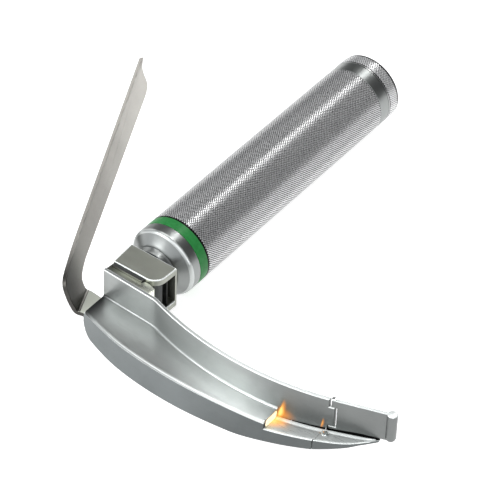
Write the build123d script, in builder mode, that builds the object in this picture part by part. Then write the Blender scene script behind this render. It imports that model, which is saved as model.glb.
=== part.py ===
from build123d import *
from math import cos, radians, sin, sqrt
import os

# Laryngoscope with a hinged, lever-operated blade tip, blade locked open, lying on its left side.
# X runs along the blade from heel to tip, Y along the handle from head to base cap, Z is up.
# All coordinates below are measured from the handle axis (x) and the front edge of the green
# ring (y); bed() moves them so that the origin is the bottom centre of the whole object.

os.makedirs("parts", exist_ok=True)

# ---------------------------------------------------------------- driving dimensions, mm
SHIFT_X = -20.515
SHIFT_Y = -39.292

HANDLE_R = 14.25  # standard large handle, 28.5 mm across
AXIS_Z = HANDLE_R  # the handle lies on the table
TUBE_BORE = 13.35
RING_WIDTH = 4.44
TUBE_END = 120.4
CAP_START = 120.6
CAP_END = 127.3
CAP_SPIGOT = 4.2
CELL_R = 13.1  # C cell
CELL_LENGTH = 50.0
CELLS_START = 14.6

HEAD_SHOULDER = -3.4
NECK_R = 8.0
FORK_BASE_BACK = -11.7
FORK_BASE_FRONT = -12.6
FORK_HEEL_X = -8.9
FORK_NOSE_X = 12.1
FORK_OUTER = 18.7  # over both cheeks
FORK_SLOT = 12.8  # between the cheeks
LAMP_BORE = 4.7
LAMP_R = 4.4

PIN_X, PIN_Y = 6.6, -17.6  # hook pin, the axis on which the blade folds
PIN_R = 1.6
NOSE_R = 5.25
HOOK_R = 4.7
RUN_FIT = 0.05

BLOCK_WIDTH = 12.6
HEEL_X = -8.8
RIGHT_EDGE = 22.6  # right edge of the spatula
SHEET = 1.5
KINK_X = 15.5
HEEL_Y = -28.0
LOW_X, LOW_Y = 57.0, -35.7  # lowest point of the curved spatula
REAR_RADIUS, FRONT_RADIUS = 132.0, 120.0
TIP_SLOPE = 0.345
KINK_Y = LOW_Y + REAR_RADIUS - sqrt(REAR_RADIUS**2 - (KINK_X - LOW_X) ** 2)

WEB_LEFT, WEB_RIGHT = 4.4, 5.4
COVER_TOP = 9.8
COVER_SKIN = 0.8
EXIT_X = 75.0
SLOPE_RISE = 0.092  # the thin web past the light exit climbs towards the tip
SLOPE_Z = 6.1
FLANGE_SHEET = 1.2

HINGE_X, HINGE_Y = 94.7, -28.9  # hinge of the flexing tip
HINGE_R = 0.5
BARREL_R = 1.15
TONGUE_LOW, TONGUE_HIGH = 10.0, 19.0
BEAD_R = 1.95
LINK_DX, LINK_DY = -0.6, -3.5  # link rivet from the tip hinge
LINK_R = 0.8

LEVER_X, LEVER_Y = -2.5, -37.2  # pivot of the thumb lever
CRANK = 8.2  # from the lever pivot to the rod pin
LEVER_SHEET = 1.8
LEVER_TOP = 3.0
LEVER_SPLAY = 23.45  # degrees that the lever leans back from the handle
LEVER_TILT = 25.3  # degrees that its face leans up
LEVER_FOLD_X, LEVER_FOLD_Y = -15.3, -35.3
LEVER_TAB = 12.3
ROD_LOW, ROD_HIGH = 3.15, 4.1
PIVOT_R = 1.5


def bed(z=0.0):
    """The plane parallel to the table at height z, in the shared object frame."""
    return Plane(origin=(SHIFT_X, SHIFT_Y, z))


def upright(y=0.0):
    """A plane across the handle axis, facing the blade: local x is X, local y is Z."""
    return Plane(origin=(SHIFT_X, SHIFT_Y + y, 0), x_dir=(1, 0, 0), z_dir=(0, -1, 0))


HANDLE_AXIS = Axis((SHIFT_X, SHIFT_Y, AXIS_Z), (0, 1, 0))


def spatula_y(x):
    """Posterior face of the spatula at station x."""
    if x <= KINK_X:
        return HEEL_Y + (KINK_Y - HEEL_Y) * (x - HEEL_X) / (KINK_X - HEEL_X)
    radius = REAR_RADIUS if x < LOW_X else FRONT_RADIUS
    return LOW_Y + radius - sqrt(radius**2 - (x - LOW_X) ** 2)


def spatula_edges(rise, end_x):
    """The spatula's long curve, moved up by rise, from the heel to end_x."""
    rear_x = (KINK_X + LOW_X) / 2
    front_x = (LOW_X + end_x) / 2
    heel = Line((HEEL_X, HEEL_Y + rise), (KINK_X, KINK_Y + rise))
    rear = ThreePointArc(heel @ 1, (rear_x, spatula_y(rear_x) + rise), (LOW_X, LOW_Y + rise))
    ThreePointArc(rear @ 1, (front_x, spatula_y(front_x) + rise), (end_x, spatula_y(end_x) + rise))


def turned(r_in, r_out, start, end):
    """A plain tube or bar round the handle axis."""
    with BuildPart() as bar:
        with BuildSketch(bed(AXIS_Z)):
            with Locations(((r_in + r_out) / 2, (start + end) / 2)):
                Rectangle(r_out - r_in, end - start)
        revolve(axis=HANDLE_AXIS)
    return bar


def peg(x, y, radius, low, high):
    """A round pin standing parallel to Z."""
    with BuildPart() as pin:
        with BuildSketch(bed(low)):
            with Locations((x, y)):
                Circle(radius)
        extrude(amount=high - low)
    return pin


# ---------------------------------------------------------------- handle
with BuildPart() as handle_tube:
    with BuildSketch(bed(AXIS_Z)):
        with Locations(((TUBE_BORE + HANDLE_R) / 2, (RING_WIDTH + TUBE_END) / 2)):
            Rectangle(HANDLE_R - TUBE_BORE, TUBE_END - RING_WIDTH)
    revolve(axis=HANDLE_AXIS)
handle_tube.part.label = "handle_tube"
export_step(handle_tube.part, "parts/handle_tube.step")

RING_BORE = 12.9
marking_ring = turned(RING_BORE, HANDLE_R, 0, RING_WIDTH)
marking_ring.part.label = "marking_ring"
export_step(marking_ring.part, "parts/marking_ring.step")

# The head is one turned piece: neck, dished face, rounded shoulder, and a spigot into the tube.
SHOULDER_R = 3.4
RIM_R = 9.2
SPIGOT_END = 12.5
with BuildPart() as handle_head:
    with BuildSketch(bed(AXIS_Z)):
        with BuildLine():
            face = Line((HANDLE_R, 0), (HANDLE_R, HEAD_SHOULDER))
            knee = RadiusArc(face @ 1, (HANDLE_R - SHOULDER_R, HEAD_SHOULDER - SHOULDER_R), SHOULDER_R)
            Polyline(
                knee @ 1,
                (RIM_R + 0.4, -8.0),
                (RIM_R, -9.1),
                (NECK_R, -9.3),
                (NECK_R, FORK_BASE_BACK),
                (LAMP_BORE + 0.9, FORK_BASE_BACK),
                (LAMP_BORE + 0.9, 2.0),
                (9.5, 2.0),
                (9.5, SPIGOT_END),
                (TUBE_BORE, SPIGOT_END),
                (TUBE_BORE, RING_WIDTH),
                (RING_BORE, RING_WIDTH),
                (RING_BORE, 0),
                (HANDLE_R, 0),
            )
        make_face()
    revolve(axis=HANDLE_AXIS)
handle_head.part.label = "handle_head"
export_step(handle_head.part, "parts/handle_head.step")

CHEEK = (FORK_OUTER - FORK_SLOT) / 2
FORK_LOW = AXIS_Z - FORK_OUTER / 2
NOSE_MID = (PIN_X + NOSE_R * cos(radians(-45)), PIN_Y + NOSE_R * sin(radians(-45)))


def cheek_outline():
    """One cheek of the fork seen from above, with its nose round the hook pin."""
    with BuildSketch(Plane.XY, mode=Mode.PRIVATE) as outline:
        with BuildLine():
            nose = ThreePointArc((PIN_X + NOSE_R, PIN_Y), NOSE_MID, (PIN_X, PIN_Y - NOSE_R))
            Polyline(
                nose @ 1,
                (FORK_HEEL_X + 0.7, PIN_Y - NOSE_R),
                (FORK_HEEL_X, FORK_BASE_BACK),
                (FORK_NOSE_X, FORK_BASE_BACK),
                nose @ 0,
            )
        make_face()
    return outline.sketch


with BuildPart() as hook_fork:
    for cheek_low in (FORK_LOW, FORK_LOW + CHEEK + FORK_SLOT):
        with BuildSketch(bed(cheek_low)):
            add(cheek_outline())
        extrude(amount=CHEEK)
    base_width = FORK_NOSE_X - FORK_HEEL_X
    with BuildSketch(upright(FORK_BASE_BACK)):
        with Locations(((FORK_NOSE_X + FORK_HEEL_X) / 2, AXIS_Z)):
            Rectangle(base_width, FORK_OUTER)
        with Locations((0, AXIS_Z)):
            Circle(LAMP_BORE, mode=Mode.SUBTRACT)
    extrude(amount=FORK_BASE_BACK - FORK_BASE_FRONT)
    with BuildSketch(bed(FORK_LOW)):
        with Locations((PIN_X, PIN_Y)):
            Circle(PIN_R)
    extrude(amount=FORK_OUTER - 1.2, mode=Mode.SUBTRACT)
hook_fork.part.label = "hook_fork"
export_step(hook_fork.part, "parts/hook_fork.step")

hook_pin = peg(PIN_X, PIN_Y, PIN_R, FORK_LOW, FORK_LOW + FORK_OUTER - 1.2)
hook_pin.part.label = "hook_pin"
export_step(hook_pin.part, "parts/hook_pin.step")

# ---------------------------------------------------------------- power inside the handle
for number in range(2):
    start = CELLS_START + number * (CELL_LENGTH + 0.1)
    with BuildPart() as cell:
        with BuildSketch(bed(AXIS_Z)):
            with BuildLine():
                Polyline(
                    (0, start),
                    (3.2, start),
                    (3.2, start + 1.8),
                    (CELL_R, start + 1.8),
                    (CELL_R, start + CELL_LENGTH),
                    (0, start + CELL_LENGTH),
                    close=True,
                )
            make_face()
        revolve(axis=HANDLE_AXIS)
    cell.part.label = f"c_cell_{number + 1}"
    export_step(cell.part, f"parts/c_cell_{number + 1}.step")

BUSH_OUT = 9.4
lamp_bush = turned(5.7, BUSH_OUT, 2.1, 12.0)
lamp_bush.part.label = "lamp_bush"
export_step(lamp_bush.part, "parts/lamp_bush.step")

STUD_R = 2.6
with BuildPart() as head_contact:
    with BuildSketch(bed(AXIS_Z)):
        with BuildLine():
            Polyline(
                (0, 12.1),
                (BUSH_OUT, 12.1),
                (BUSH_OUT, 12.9),
                (STUD_R, 12.9),
                (STUD_R, 14.5),
                (0, 14.5),
                close=True,
            )
        make_face()
    revolve(axis=HANDLE_AXIS)
head_contact.part.label = "head_contact"
export_step(head_contact.part, "parts/head_contact.step")

# The lamp cartridge is pushed in by the blade's heel block and springs out without it.
LAMP_FRONT = FORK_BASE_FRONT + 0.05
FLANGE_BACK = 1.6
with BuildPart() as lamp_sleeve:
    with BuildSketch(bed(AXIS_Z)):
        with BuildLine():
            Polyline(
                (3.1, LAMP_FRONT),
                (LAMP_R, LAMP_FRONT),
                (LAMP_R, 0.4),
                (5.5, 0.4),
                (5.5, FLANGE_BACK),
                (2.4, FLANGE_BACK),
                (2.4, -8.0),
                (3.1, -8.0),
                close=True,
            )
        make_face()
    revolve(axis=HANDLE_AXIS)
lamp_sleeve.part.label = "lamp_sleeve"
export_step(lamp_sleeve.part, "parts/lamp_sleeve.step")

with BuildPart() as lamp_bulb:
    with BuildSketch(bed(AXIS_Z)):
        with BuildLine():
            Polyline((0, -12.1), (1.9, -12.1), (2.9, -11.0), (2.9, -8.05), (0, -8.05), close=True)
        make_face()
    revolve(axis=HANDLE_AXIS)
lamp_bulb.part.label = "lamp_bulb"
export_step(lamp_bulb.part, "parts/lamp_bulb.step")

lamp_base = turned(0, 2.35, -7.95, 2.6)
lamp_base.part.label = "lamp_base"
export_step(lamp_base.part, "parts/lamp_base.step")


def coil_spring(mean_r, wire_r, start, end, turns):
    """A helical wire spring round the handle axis."""
    length = end - start
    with BuildPart() as spring:
        with BuildLine() as wire:
            Helix(
                pitch=length / turns,
                height=length,
                radius=mean_r,
                center=(SHIFT_X, SHIFT_Y + start, AXIS_Z),
                direction=(0, 1, 0),
            )
        with BuildSketch(Plane(origin=wire.line @ 0, z_dir=wire.line % 0)):
            Circle(wire_r)
        sweep()
    return spring


lamp_spring = coil_spring(4.1, 0.35, 2.6, 11.5, 5)
lamp_spring.part.label = "lamp_spring"
export_step(lamp_spring.part, "parts/lamp_spring.step")

# ---------------------------------------------------------------- base cap
SPIGOT_R = TUBE_BORE - RUN_FIT
SEAL_R = 0.9
CAP_BORE = SPIGOT_R - SEAL_R - 0.3
with BuildPart() as base_cap:
    with BuildSketch(bed(AXIS_Z)):
        with BuildLine():
            wall = Line((CAP_BORE, CAP_START - CAP_SPIGOT), (SPIGOT_R, CAP_START - CAP_SPIGOT))
            Polyline(
                wall @ 1,
                (SPIGOT_R, CAP_START - 2 * SEAL_R),
                (SPIGOT_R - SEAL_R, CAP_START - 2 * SEAL_R),
                (SPIGOT_R - SEAL_R, CAP_START),
                (HANDLE_R, CAP_START),
                (HANDLE_R, CAP_END - 0.9),
                (HANDLE_R - 0.9, CAP_END),
                (0, CAP_END),
                (0, CAP_START + 1.5),
                (CAP_BORE, CAP_START + 1.5),
                wall @ 0,
            )
        make_face()
    revolve(axis=HANDLE_AXIS)
base_cap.part.label = "base_cap"
export_step(base_cap.part, "parts/base_cap.step")

cap_seal = turned(SPIGOT_R - SEAL_R, SPIGOT_R, CAP_START - 2 * SEAL_R, CAP_START)
cap_seal.part.label = "cap_seal"
export_step(cap_seal.part, "parts/cap_seal.step")

cap_spring = coil_spring(6.0, 0.5, CELLS_START + 2 * CELL_LENGTH + 0.8, CAP_START + 0.95, 3)
cap_spring.part.label = "cap_spring"
export_step(cap_spring.part, "parts/cap_spring.step")

# ---------------------------------------------------------------- blade heel
BLOCK_LOW = AXIS_Z - BLOCK_WIDTH / 2
BLOCK_FACE = FORK_BASE_FRONT - 0.3
LEDGE_Y = -23.1
HOOK_GAP = PIN_R + RUN_FIT
FIBRE_R = 1.6
FIBRE_Z = 7.3
FIBRE_DOWN_Y = -24.8
FERRULE_R = 2.3
FERRULE_LENGTH = 5.0


def fibre_route(radius, back=0.0):
    """The light guide: in at the block, down through the heel, then along the web."""
    with BuildPart() as guide:
        with BuildLine(bed(0)) as route:
            FilletPolyline(
                (0, BLOCK_FACE - back, AXIS_Z),
                (0, FIBRE_DOWN_Y, AXIS_Z),
                (0, FIBRE_DOWN_Y, FIBRE_Z),
                (0, -34.6, FIBRE_Z),
                (16, -39.4, FIBRE_Z),
                (38, -41.0, FIBRE_Z),
                (58, -40.4, FIBRE_Z),
                (EXIT_X - 1.3, -38.3, FIBRE_Z),
                radius=(3.3, 3.3, 4.2, 30, 60, 60),
            )
        with BuildSketch(Plane(origin=route.line @ 0, z_dir=route.line % 0)):
            Circle(radius)
        sweep()
    return guide


fibre_bundle = fibre_route(FIBRE_R, FERRULE_LENGTH)
fibre_bundle.part.label = "fibre_bundle"
export_step(fibre_bundle.part, "parts/fibre_bundle.step")
fibre_bore = fibre_route(FIBRE_R + 0.05, FERRULE_LENGTH)

BALL_X, BALL_Y, BALL_R = -4.6, -17.6, 1.6
BALL_PROUD = 0.07
with BuildPart() as heel_block:
    with BuildSketch(bed(BLOCK_LOW)):
        with BuildLine():
            Polyline(
                (HEEL_X + 0.9, BLOCK_FACE),
                (PIN_X - 0.5, BLOCK_FACE),
                (PIN_X - 0.5, LEDGE_Y - 0.5),
                (HEEL_X + 0.9, LEDGE_Y - 0.5),
                close=True,
            )
        make_face()
        with Locations((PIN_X, PIN_Y)):
            Circle(HOOK_R)
        with Locations((PIN_X, (PIN_Y + LEDGE_Y) / 2 - 0.6)):
            Rectangle(3.2, PIN_Y - LEDGE_Y)
        with Locations((PIN_X, PIN_Y)):
            Circle(HOOK_GAP, mode=Mode.SUBTRACT)
        with Locations((PIN_X + HOOK_R / 2 + 0.5, PIN_Y)):
            Rectangle(HOOK_R + 1.0, 2 * HOOK_GAP, mode=Mode.SUBTRACT)
    extrude(amount=BLOCK_WIDTH)
    with BuildSketch(bed(WEB_RIGHT)):
        with BuildLine():
            Polyline(
                (HEEL_X + 0.2, LEDGE_Y),
                (8.6, LEDGE_Y),
                (10.2, LEDGE_Y - 0.7),
                (11.9, LEDGE_Y - 1.8),
                (12.2, spatula_y(12.2) + SHEET),
                (HEEL_X, spatula_y(HEEL_X) + SHEET),
                close=True,
            )
        make_face()
    extrude(amount=RIGHT_EDGE - WEB_RIGHT)
    with BuildSketch(bed(BLOCK_LOW)):
        with Locations((BALL_X, BALL_Y)):
            Circle(BALL_R + RUN_FIT)
    extrude(amount=BLOCK_WIDTH, mode=Mode.SUBTRACT)
    with BuildSketch(upright(BLOCK_FACE)):
        with Locations((0, AXIS_Z)):
            Circle(FERRULE_R)
    extrude(amount=FERRULE_LENGTH, mode=Mode.SUBTRACT)
    add(fibre_bore.part, mode=Mode.SUBTRACT)
heel_block.part.label = "heel_block"
export_step(heel_block.part, "parts/heel_block.step")

light_ferrule = turned(0, FERRULE_R, BLOCK_FACE - FERRULE_LENGTH, BLOCK_FACE)
light_ferrule.part.label = "light_ferrule"
export_step(light_ferrule.part, "parts/light_ferrule.step")

BALL_DEPTH = BALL_R - BALL_PROUD
for side, ball_z in (("left", BLOCK_LOW + BALL_DEPTH), ("right", BLOCK_LOW + BLOCK_WIDTH - BALL_DEPTH)):
    with BuildPart(Plane(origin=(SHIFT_X + BALL_X, SHIFT_Y + BALL_Y, ball_z))) as detent_ball:
        Sphere(BALL_R)
    detent_ball.part.label = f"detent_ball_{side}"
    export_step(detent_ball.part, f"parts/detent_ball_{side}.step")

SPRING_WIRE = 0.25
SPRING_GAP = 0.7
spring_low = BLOCK_LOW + 2 * BALL_R + SPRING_GAP
spring_length = BLOCK_WIDTH - 4 * BALL_R - 2 * SPRING_GAP
with BuildPart() as detent_spring:
    with BuildLine() as wire:
        Helix(
            pitch=spring_length / 5,
            height=spring_length,
            radius=BALL_R - SPRING_WIRE - 0.05,
            center=(SHIFT_X + BALL_X, SHIFT_Y + BALL_Y, spring_low),
        )
    with BuildSketch(Plane(origin=wire.line @ 0, z_dir=wire.line % 0)):
        Circle(SPRING_WIRE)
    sweep()
detent_spring.part.label = "detent_spring"
export_step(detent_spring.part, "parts/detent_spring.step")

# ---------------------------------------------------------------- blade sheet work
SLOPE = Plane(
    origin=(SHIFT_X + EXIT_X, SHIFT_Y, SLOPE_Z),
    x_dir=(1, 0, SLOPE_RISE),
    z_dir=(-SLOPE_RISE, 0, 1),
)
NOTCH_X = HINGE_X - BARREL_R - 0.15
TONGUE_MID = (TONGUE_LOW + TONGUE_HIGH) / 2
PLAY = 0.12


def slope_u(x):
    """Distance along the sloped web from the light exit to station x."""
    return (x - EXIT_X) * sqrt(1 + SLOPE_RISE**2)


def slope_z(x):
    """Height of the distal web's right face at station x."""
    return SLOPE_Z + SLOPE_RISE * (x - EXIT_X)


with BuildPart() as spatula:
    with BuildSketch(bed(WEB_RIGHT)):
        with BuildLine():
            spatula_edges(0, HINGE_X)
            spatula_edges(SHEET, HINGE_X)
            Line((HEEL_X, HEEL_Y), (HEEL_X, HEEL_Y + SHEET))
            Line((HINGE_X, spatula_y(HINGE_X)), (HINGE_X, spatula_y(HINGE_X) + SHEET))
        make_face()
    extrude(amount=RIGHT_EDGE - WEB_RIGHT)
    # the left edge climbs with the thin web past the light exit
    with BuildSketch(upright(LOW_Y + 20)):
        with BuildLine():
            Polyline(
                (EXIT_X, 0),
                (EXIT_X, slope_z(EXIT_X) - 1.0),
                (HINGE_X + 5, slope_z(HINGE_X + 5) - 1.0),
                (HINGE_X + 5, 0),
                close=True,
            )
        make_face()
    extrude(amount=40, mode=Mode.SUBTRACT)
    with BuildSketch(upright(LOW_Y + 20)):
        for low, high in ((0, TONGUE_LOW), (TONGUE_HIGH, RIGHT_EDGE + 1)):
            with Locations((NOTCH_X + 5, (low + high) / 2)):
                Rectangle(10, high - low)
    extrude(amount=40, mode=Mode.SUBTRACT)
    with BuildSketch(bed(TONGUE_LOW)):
        with Locations((HINGE_X, HINGE_Y)):
            Circle(BARREL_R)
    extrude(amount=TONGUE_HIGH - TONGUE_LOW)
    with BuildSketch(bed(TONGUE_LOW)):
        with Locations((HINGE_X, HINGE_Y)):
            Circle(HINGE_R)
    extrude(amount=TONGUE_HIGH - TONGUE_LOW, mode=Mode.SUBTRACT)
    add(fibre_bore.part, mode=Mode.SUBTRACT)
spatula.part.label = "spatula"
export_step(spatula.part, "parts/spatula.step")

SLIT_X = 92.35  # the slit between the blade and its tip, behind the link rivet
SLIT_WIDTH = 0.4
TOP_CURVE = [(HEEL_X - 0.5, -38.6), (12, -43.8), (38, -45.4), (64, -43.9), (80, -41.6), (SLIT_X, -37.8)]
LOW_CURVE = [(HEEL_X - 0.5, -39.8), (12, -46.6), (38, -48.7), (64, -46.2), (80, -42.4), (SLIT_X, -38.2)]
HEEL_ROUND = 6.0


def strip_between(points, width):
    """A thin curved strip of the given width on the handle side of a curve."""
    raised = [(x, y + width) for x, y in points]
    with BuildSketch(Plane.XY, mode=Mode.PRIVATE) as strip:
        with BuildLine():
            outer = Spline(*points)
            inner = Spline(*raised)
            Line(outer @ 0, inner @ 0)
            Line(outer @ 1, inner @ 1)
        make_face()
    return strip.sketch


with BuildPart() as flange:
    with BuildSketch(bed(0)):
        add(strip_between(LOW_CURVE, FLANGE_SHEET))
    with BuildSketch(bed(COVER_TOP)):
        add(strip_between(TOP_CURVE, FLANGE_SHEET))
    loft(ruled=True)
    with BuildSketch(upright(-30)):
        with BuildLine():
            corner = RadiusArc((HEEL_X - 0.5, HEEL_ROUND), (HEEL_X - 0.5 + HEEL_ROUND, 0), -HEEL_ROUND)
            Polyline(
                corner @ 1,
                (64, 0),
                (SLIT_X, 3.6),
                (SLIT_X, slope_z(SLIT_X)),
                (EXIT_X, slope_z(EXIT_X)),
                (EXIT_X, COVER_TOP),
                (HEEL_X - 0.5, COVER_TOP),
                corner @ 0,
            )
        make_face()
    extrude(amount=30, mode=Mode.INTERSECT)
flange.part.label = "flange"
export_step(flange.part, "parts/flange.step")

MID_CURVE = [(x, (y + z) / 2 + FLANGE_SHEET / 2) for (x, y), (_, z) in zip(TOP_CURVE, LOW_CURVE)]


def web_outline(curve, end_x, end_y):
    """Between the spatula's posterior face and a curve inside the flange."""
    with BuildSketch(Plane.XY, mode=Mode.PRIVATE) as outline:
        with BuildLine():
            spatula_edges(0, end_x)
            edge = Spline(*[point for point in curve if point[0] < end_x], (end_x, end_y))
            Line((HEEL_X, HEEL_Y), edge @ 0)
            Line((end_x, spatula_y(end_x)), edge @ 1)
        make_face()
    return outline.sketch


with BuildPart() as web:
    with BuildSketch(bed(WEB_LEFT)):
        add(web_outline(MID_CURVE, EXIT_X, -42.5))
    extrude(amount=WEB_RIGHT - WEB_LEFT)
    with BuildSketch(SLOPE):
        with BuildLine():
            upper = ThreePointArc(
                (-0.6, spatula_y(EXIT_X)),
                (slope_u((SLIT_X + EXIT_X) / 2), spatula_y((SLIT_X + EXIT_X) / 2)),
                (slope_u(SLIT_X), spatula_y(SLIT_X)),
            )
            lower = Spline((-0.6, -42.0), (slope_u(80), -41.2), (slope_u(SLIT_X), -37.3))
            Line(upper @ 0, lower @ 0)
            Line(upper @ 1, lower @ 1)
        make_face()
    extrude(amount=-1.0)
    add(flange.part, mode=Mode.SUBTRACT)
    add(spatula.part, mode=Mode.SUBTRACT)
    with BuildSketch(bed(WEB_LEFT)):
        with Locations((LEVER_X, LEVER_Y)):
            Circle(PIVOT_R)
    extrude(amount=WEB_RIGHT - WEB_LEFT, mode=Mode.SUBTRACT)
web.part.label = "web"
export_step(web.part, "parts/web.step")

# ---------------------------------------------------------------- light guide housing
EXIT_Y, EXIT_Z = -38.2, 7.7
EXIT_WIDE, EXIT_HIGH = 2.2, 1.5
COVER_CURVE = [(x, y + FLANGE_SHEET / 2) for x, y in TOP_CURVE]


def exit_plug(length):
    """The polished end of the light guide, an oval plug in the housing's front wall."""
    wall = Plane(origin=(SHIFT_X + EXIT_X - 0.8, SHIFT_Y, 0), x_dir=(0, 1, 0), z_dir=(1, 0, 0))
    with BuildPart() as plug:
        with BuildSketch(wall):
            with Locations((EXIT_Y, EXIT_Z)):
                Ellipse(EXIT_WIDE, EXIT_HIGH)
        extrude(amount=length)
    return plug


light_exit = exit_plug(0.95)
light_exit.part.label = "light_exit"
export_step(light_exit.part, "parts/light_exit.step")

with BuildPart() as guide_cover:
    with BuildSketch(bed(COVER_TOP - COVER_SKIN)):
        add(web_outline(COVER_CURVE, EXIT_X, -41.8))
    extrude(amount=COVER_SKIN)
    with BuildSketch(bed(WEB_RIGHT)):
        for wall_x, wall_y, wall_length in ((EXIT_X - 0.4, -38.3, 8.0), (HEEL_X + 0.4, -33.2, 10.4)):
            with Locations((wall_x, wall_y)):
                Rectangle(0.8, wall_length)
    extrude(amount=COVER_TOP - WEB_RIGHT - COVER_SKIN)
    add(flange.part, mode=Mode.SUBTRACT)
    add(spatula.part, mode=Mode.SUBTRACT)
    add(exit_plug(1.0).part, mode=Mode.SUBTRACT)
    add(web.part, mode=Mode.SUBTRACT)
guide_cover.part.label = "guide_cover"
export_step(guide_cover.part, "parts/guide_cover.step")

# ---------------------------------------------------------------- thumb lever
splay, tilt = radians(LEVER_SPLAY), radians(LEVER_TILT)
LEVER_FACE = Plane(
    origin=(SHIFT_X + LEVER_FOLD_X, SHIFT_Y + LEVER_FOLD_Y, LEVER_TOP),
    x_dir=(-sin(splay), cos(splay), 0),
    z_dir=(cos(tilt) * cos(splay), cos(tilt) * sin(splay), sin(tilt)),
)
FOLD_END_X = LEVER_FOLD_X - LEVER_TAB * sin(splay)
FOLD_END_Y = LEVER_FOLD_Y + LEVER_TAB * cos(splay)
CRANK_X, CRANK_Y = LEVER_X, LEVER_Y + CRANK
CRANK_PIN_R = 1.0
BEND_BACK = 1.0

with BuildPart() as thumb_lever:
    with BuildSketch(LEVER_FACE):
        with BuildLine():
            tab = Polyline((0.3, 9.5), (0, -1.6), (LEVER_TAB, -1.6), (LEVER_TAB + 0.3, 4.8))
            inner = ThreePointArc(tab @ 1, (15.2, 6.3), (20.0, 6.8))
            straight = Line(inner @ 1, (115.6, 11.8))
            toe = ThreePointArc(straight @ 1, (119.0, 13.0), (120.3, 16.0))
            hollow = ThreePointArc(toe @ 1, (122.0, 19.4), (125.7, 21.4))
            back = Polyline(hollow @ 1, (125.9, 22.0), (20.7, 15.0))
            ThreePointArc(back @ 1, (8.1, 13.5), tab @ 0)
        make_face()
    extrude(amount=-LEVER_SHEET)
    with BuildSketch(bed(LEVER_TOP - LEVER_SHEET)):
        with BuildLine():
            Polyline(
                (LEVER_FOLD_X - BEND_BACK * cos(splay), LEVER_FOLD_Y - BEND_BACK * sin(splay)),
                (LEVER_FOLD_X, LEVER_FOLD_Y),
                (-9.5, LEVER_FOLD_Y),
                (-4.6, -39.0),
                (LEVER_X, LEVER_Y),
                (CRANK_X, CRANK_Y),
                (-4.2, CRANK_Y + 1.5),
                (-12.5, FOLD_END_Y),
                (FOLD_END_X, FOLD_END_Y),
                (FOLD_END_X - BEND_BACK * cos(splay), FOLD_END_Y - BEND_BACK * sin(splay)),
                close=True,
            )
        make_face()
        with Locations((LEVER_X, LEVER_Y)):
            Circle(2.8)
        with Locations((CRANK_X, CRANK_Y)):
            Circle(2.2)
        with Locations((LEVER_X, (LEVER_Y + CRANK_Y) / 2)):
            Rectangle(4.0, CRANK)
        with Locations((LEVER_X, LEVER_Y)):
            Circle(PIVOT_R + RUN_FIT, mode=Mode.SUBTRACT)
        with Locations((CRANK_X, CRANK_Y)):
            Circle(CRANK_PIN_R, mode=Mode.SUBTRACT)
    extrude(amount=LEVER_SHEET)
thumb_lever.part.label = "thumb_lever"
export_step(thumb_lever.part, "parts/thumb_lever.step")

PIVOT_HEAD = 2.4
with BuildPart() as lever_pivot:
    with BuildSketch(bed(0.5)):
        with Locations((LEVER_X, LEVER_Y)):
            Circle(PIVOT_HEAD)
    extrude(amount=0.6)
    with BuildSketch(bed(1.1)):
        with Locations((LEVER_X, LEVER_Y)):
            Circle(PIVOT_R)
    extrude(amount=WEB_RIGHT - 1.1)
lever_pivot.part.label = "lever_pivot"
export_step(lever_pivot.part, "parts/lever_pivot.step")

with BuildPart() as lever_spring:
    with BuildLine() as wire:
        Helix(pitch=0.5, height=0.75, radius=2.1, center=(SHIFT_X + LEVER_X, SHIFT_Y + LEVER_Y, 3.3))
    with BuildSketch(Plane(origin=wire.line @ 0, z_dir=wire.line % 0)):
        Circle(0.2)
    sweep()
lever_spring.part.label = "lever_spring"
export_step(lever_spring.part, "parts/lever_spring.step")

with BuildPart() as crank_pin:
    with BuildSketch(bed(LEVER_TOP - LEVER_SHEET - 0.4)):
        with Locations((CRANK_X, CRANK_Y)):
            Circle(1.6)
    extrude(amount=0.4)
    with BuildSketch(bed(LEVER_TOP - LEVER_SHEET)):
        with Locations((CRANK_X, CRANK_Y)):
            Circle(CRANK_PIN_R)
    extrude(amount=ROD_HIGH - LEVER_TOP + LEVER_SHEET)
crank_pin.part.label = "crank_pin"
export_step(crank_pin.part, "parts/crank_pin.step")

# ---------------------------------------------------------------- connecting rod
LINK_X, LINK_Y = HINGE_X + LINK_DX, HINGE_Y + LINK_DY
ROD_WIDTH = 2.4
ROD_SAG_Y = -40.4
LINK_CLEARANCE = 0.65
with BuildPart() as push_rod:
    with BuildSketch(bed(ROD_LOW)):
        with BuildLine():
            ThreePointArc((CRANK_X, CRANK_Y), ((CRANK_X + LINK_X) / 2, ROD_SAG_Y), (LINK_X, LINK_Y))
        trace(line_width=ROD_WIDTH)
        with Locations((CRANK_X, CRANK_Y)):
            Circle(2.0)
        with Locations((LINK_X, LINK_Y)):
            Circle(2.5)
        with Locations((CRANK_X, CRANK_Y)):
            Circle(CRANK_PIN_R + RUN_FIT, mode=Mode.SUBTRACT)
        with Locations((LINK_X, LINK_Y)):
            Circle(LINK_R + LINK_CLEARANCE, mode=Mode.SUBTRACT)
    extrude(amount=ROD_HIGH - ROD_LOW)
push_rod.part.label = "push_rod"
export_step(push_rod.part, "parts/push_rod.step")

# ---------------------------------------------------------------- flexing tip
TIP_START_X = HINGE_X + BARREL_R + 0.25
TIP_SHEET = 1.4
BEAD_X, BEAD_Y = 114.6, -22.1
BEAD_LOW = 9.8


def tip_y(x):
    """Posterior face of the straight tip at station x."""
    return spatula_y(96.0) + TIP_SLOPE * (x - 96.0)


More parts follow.
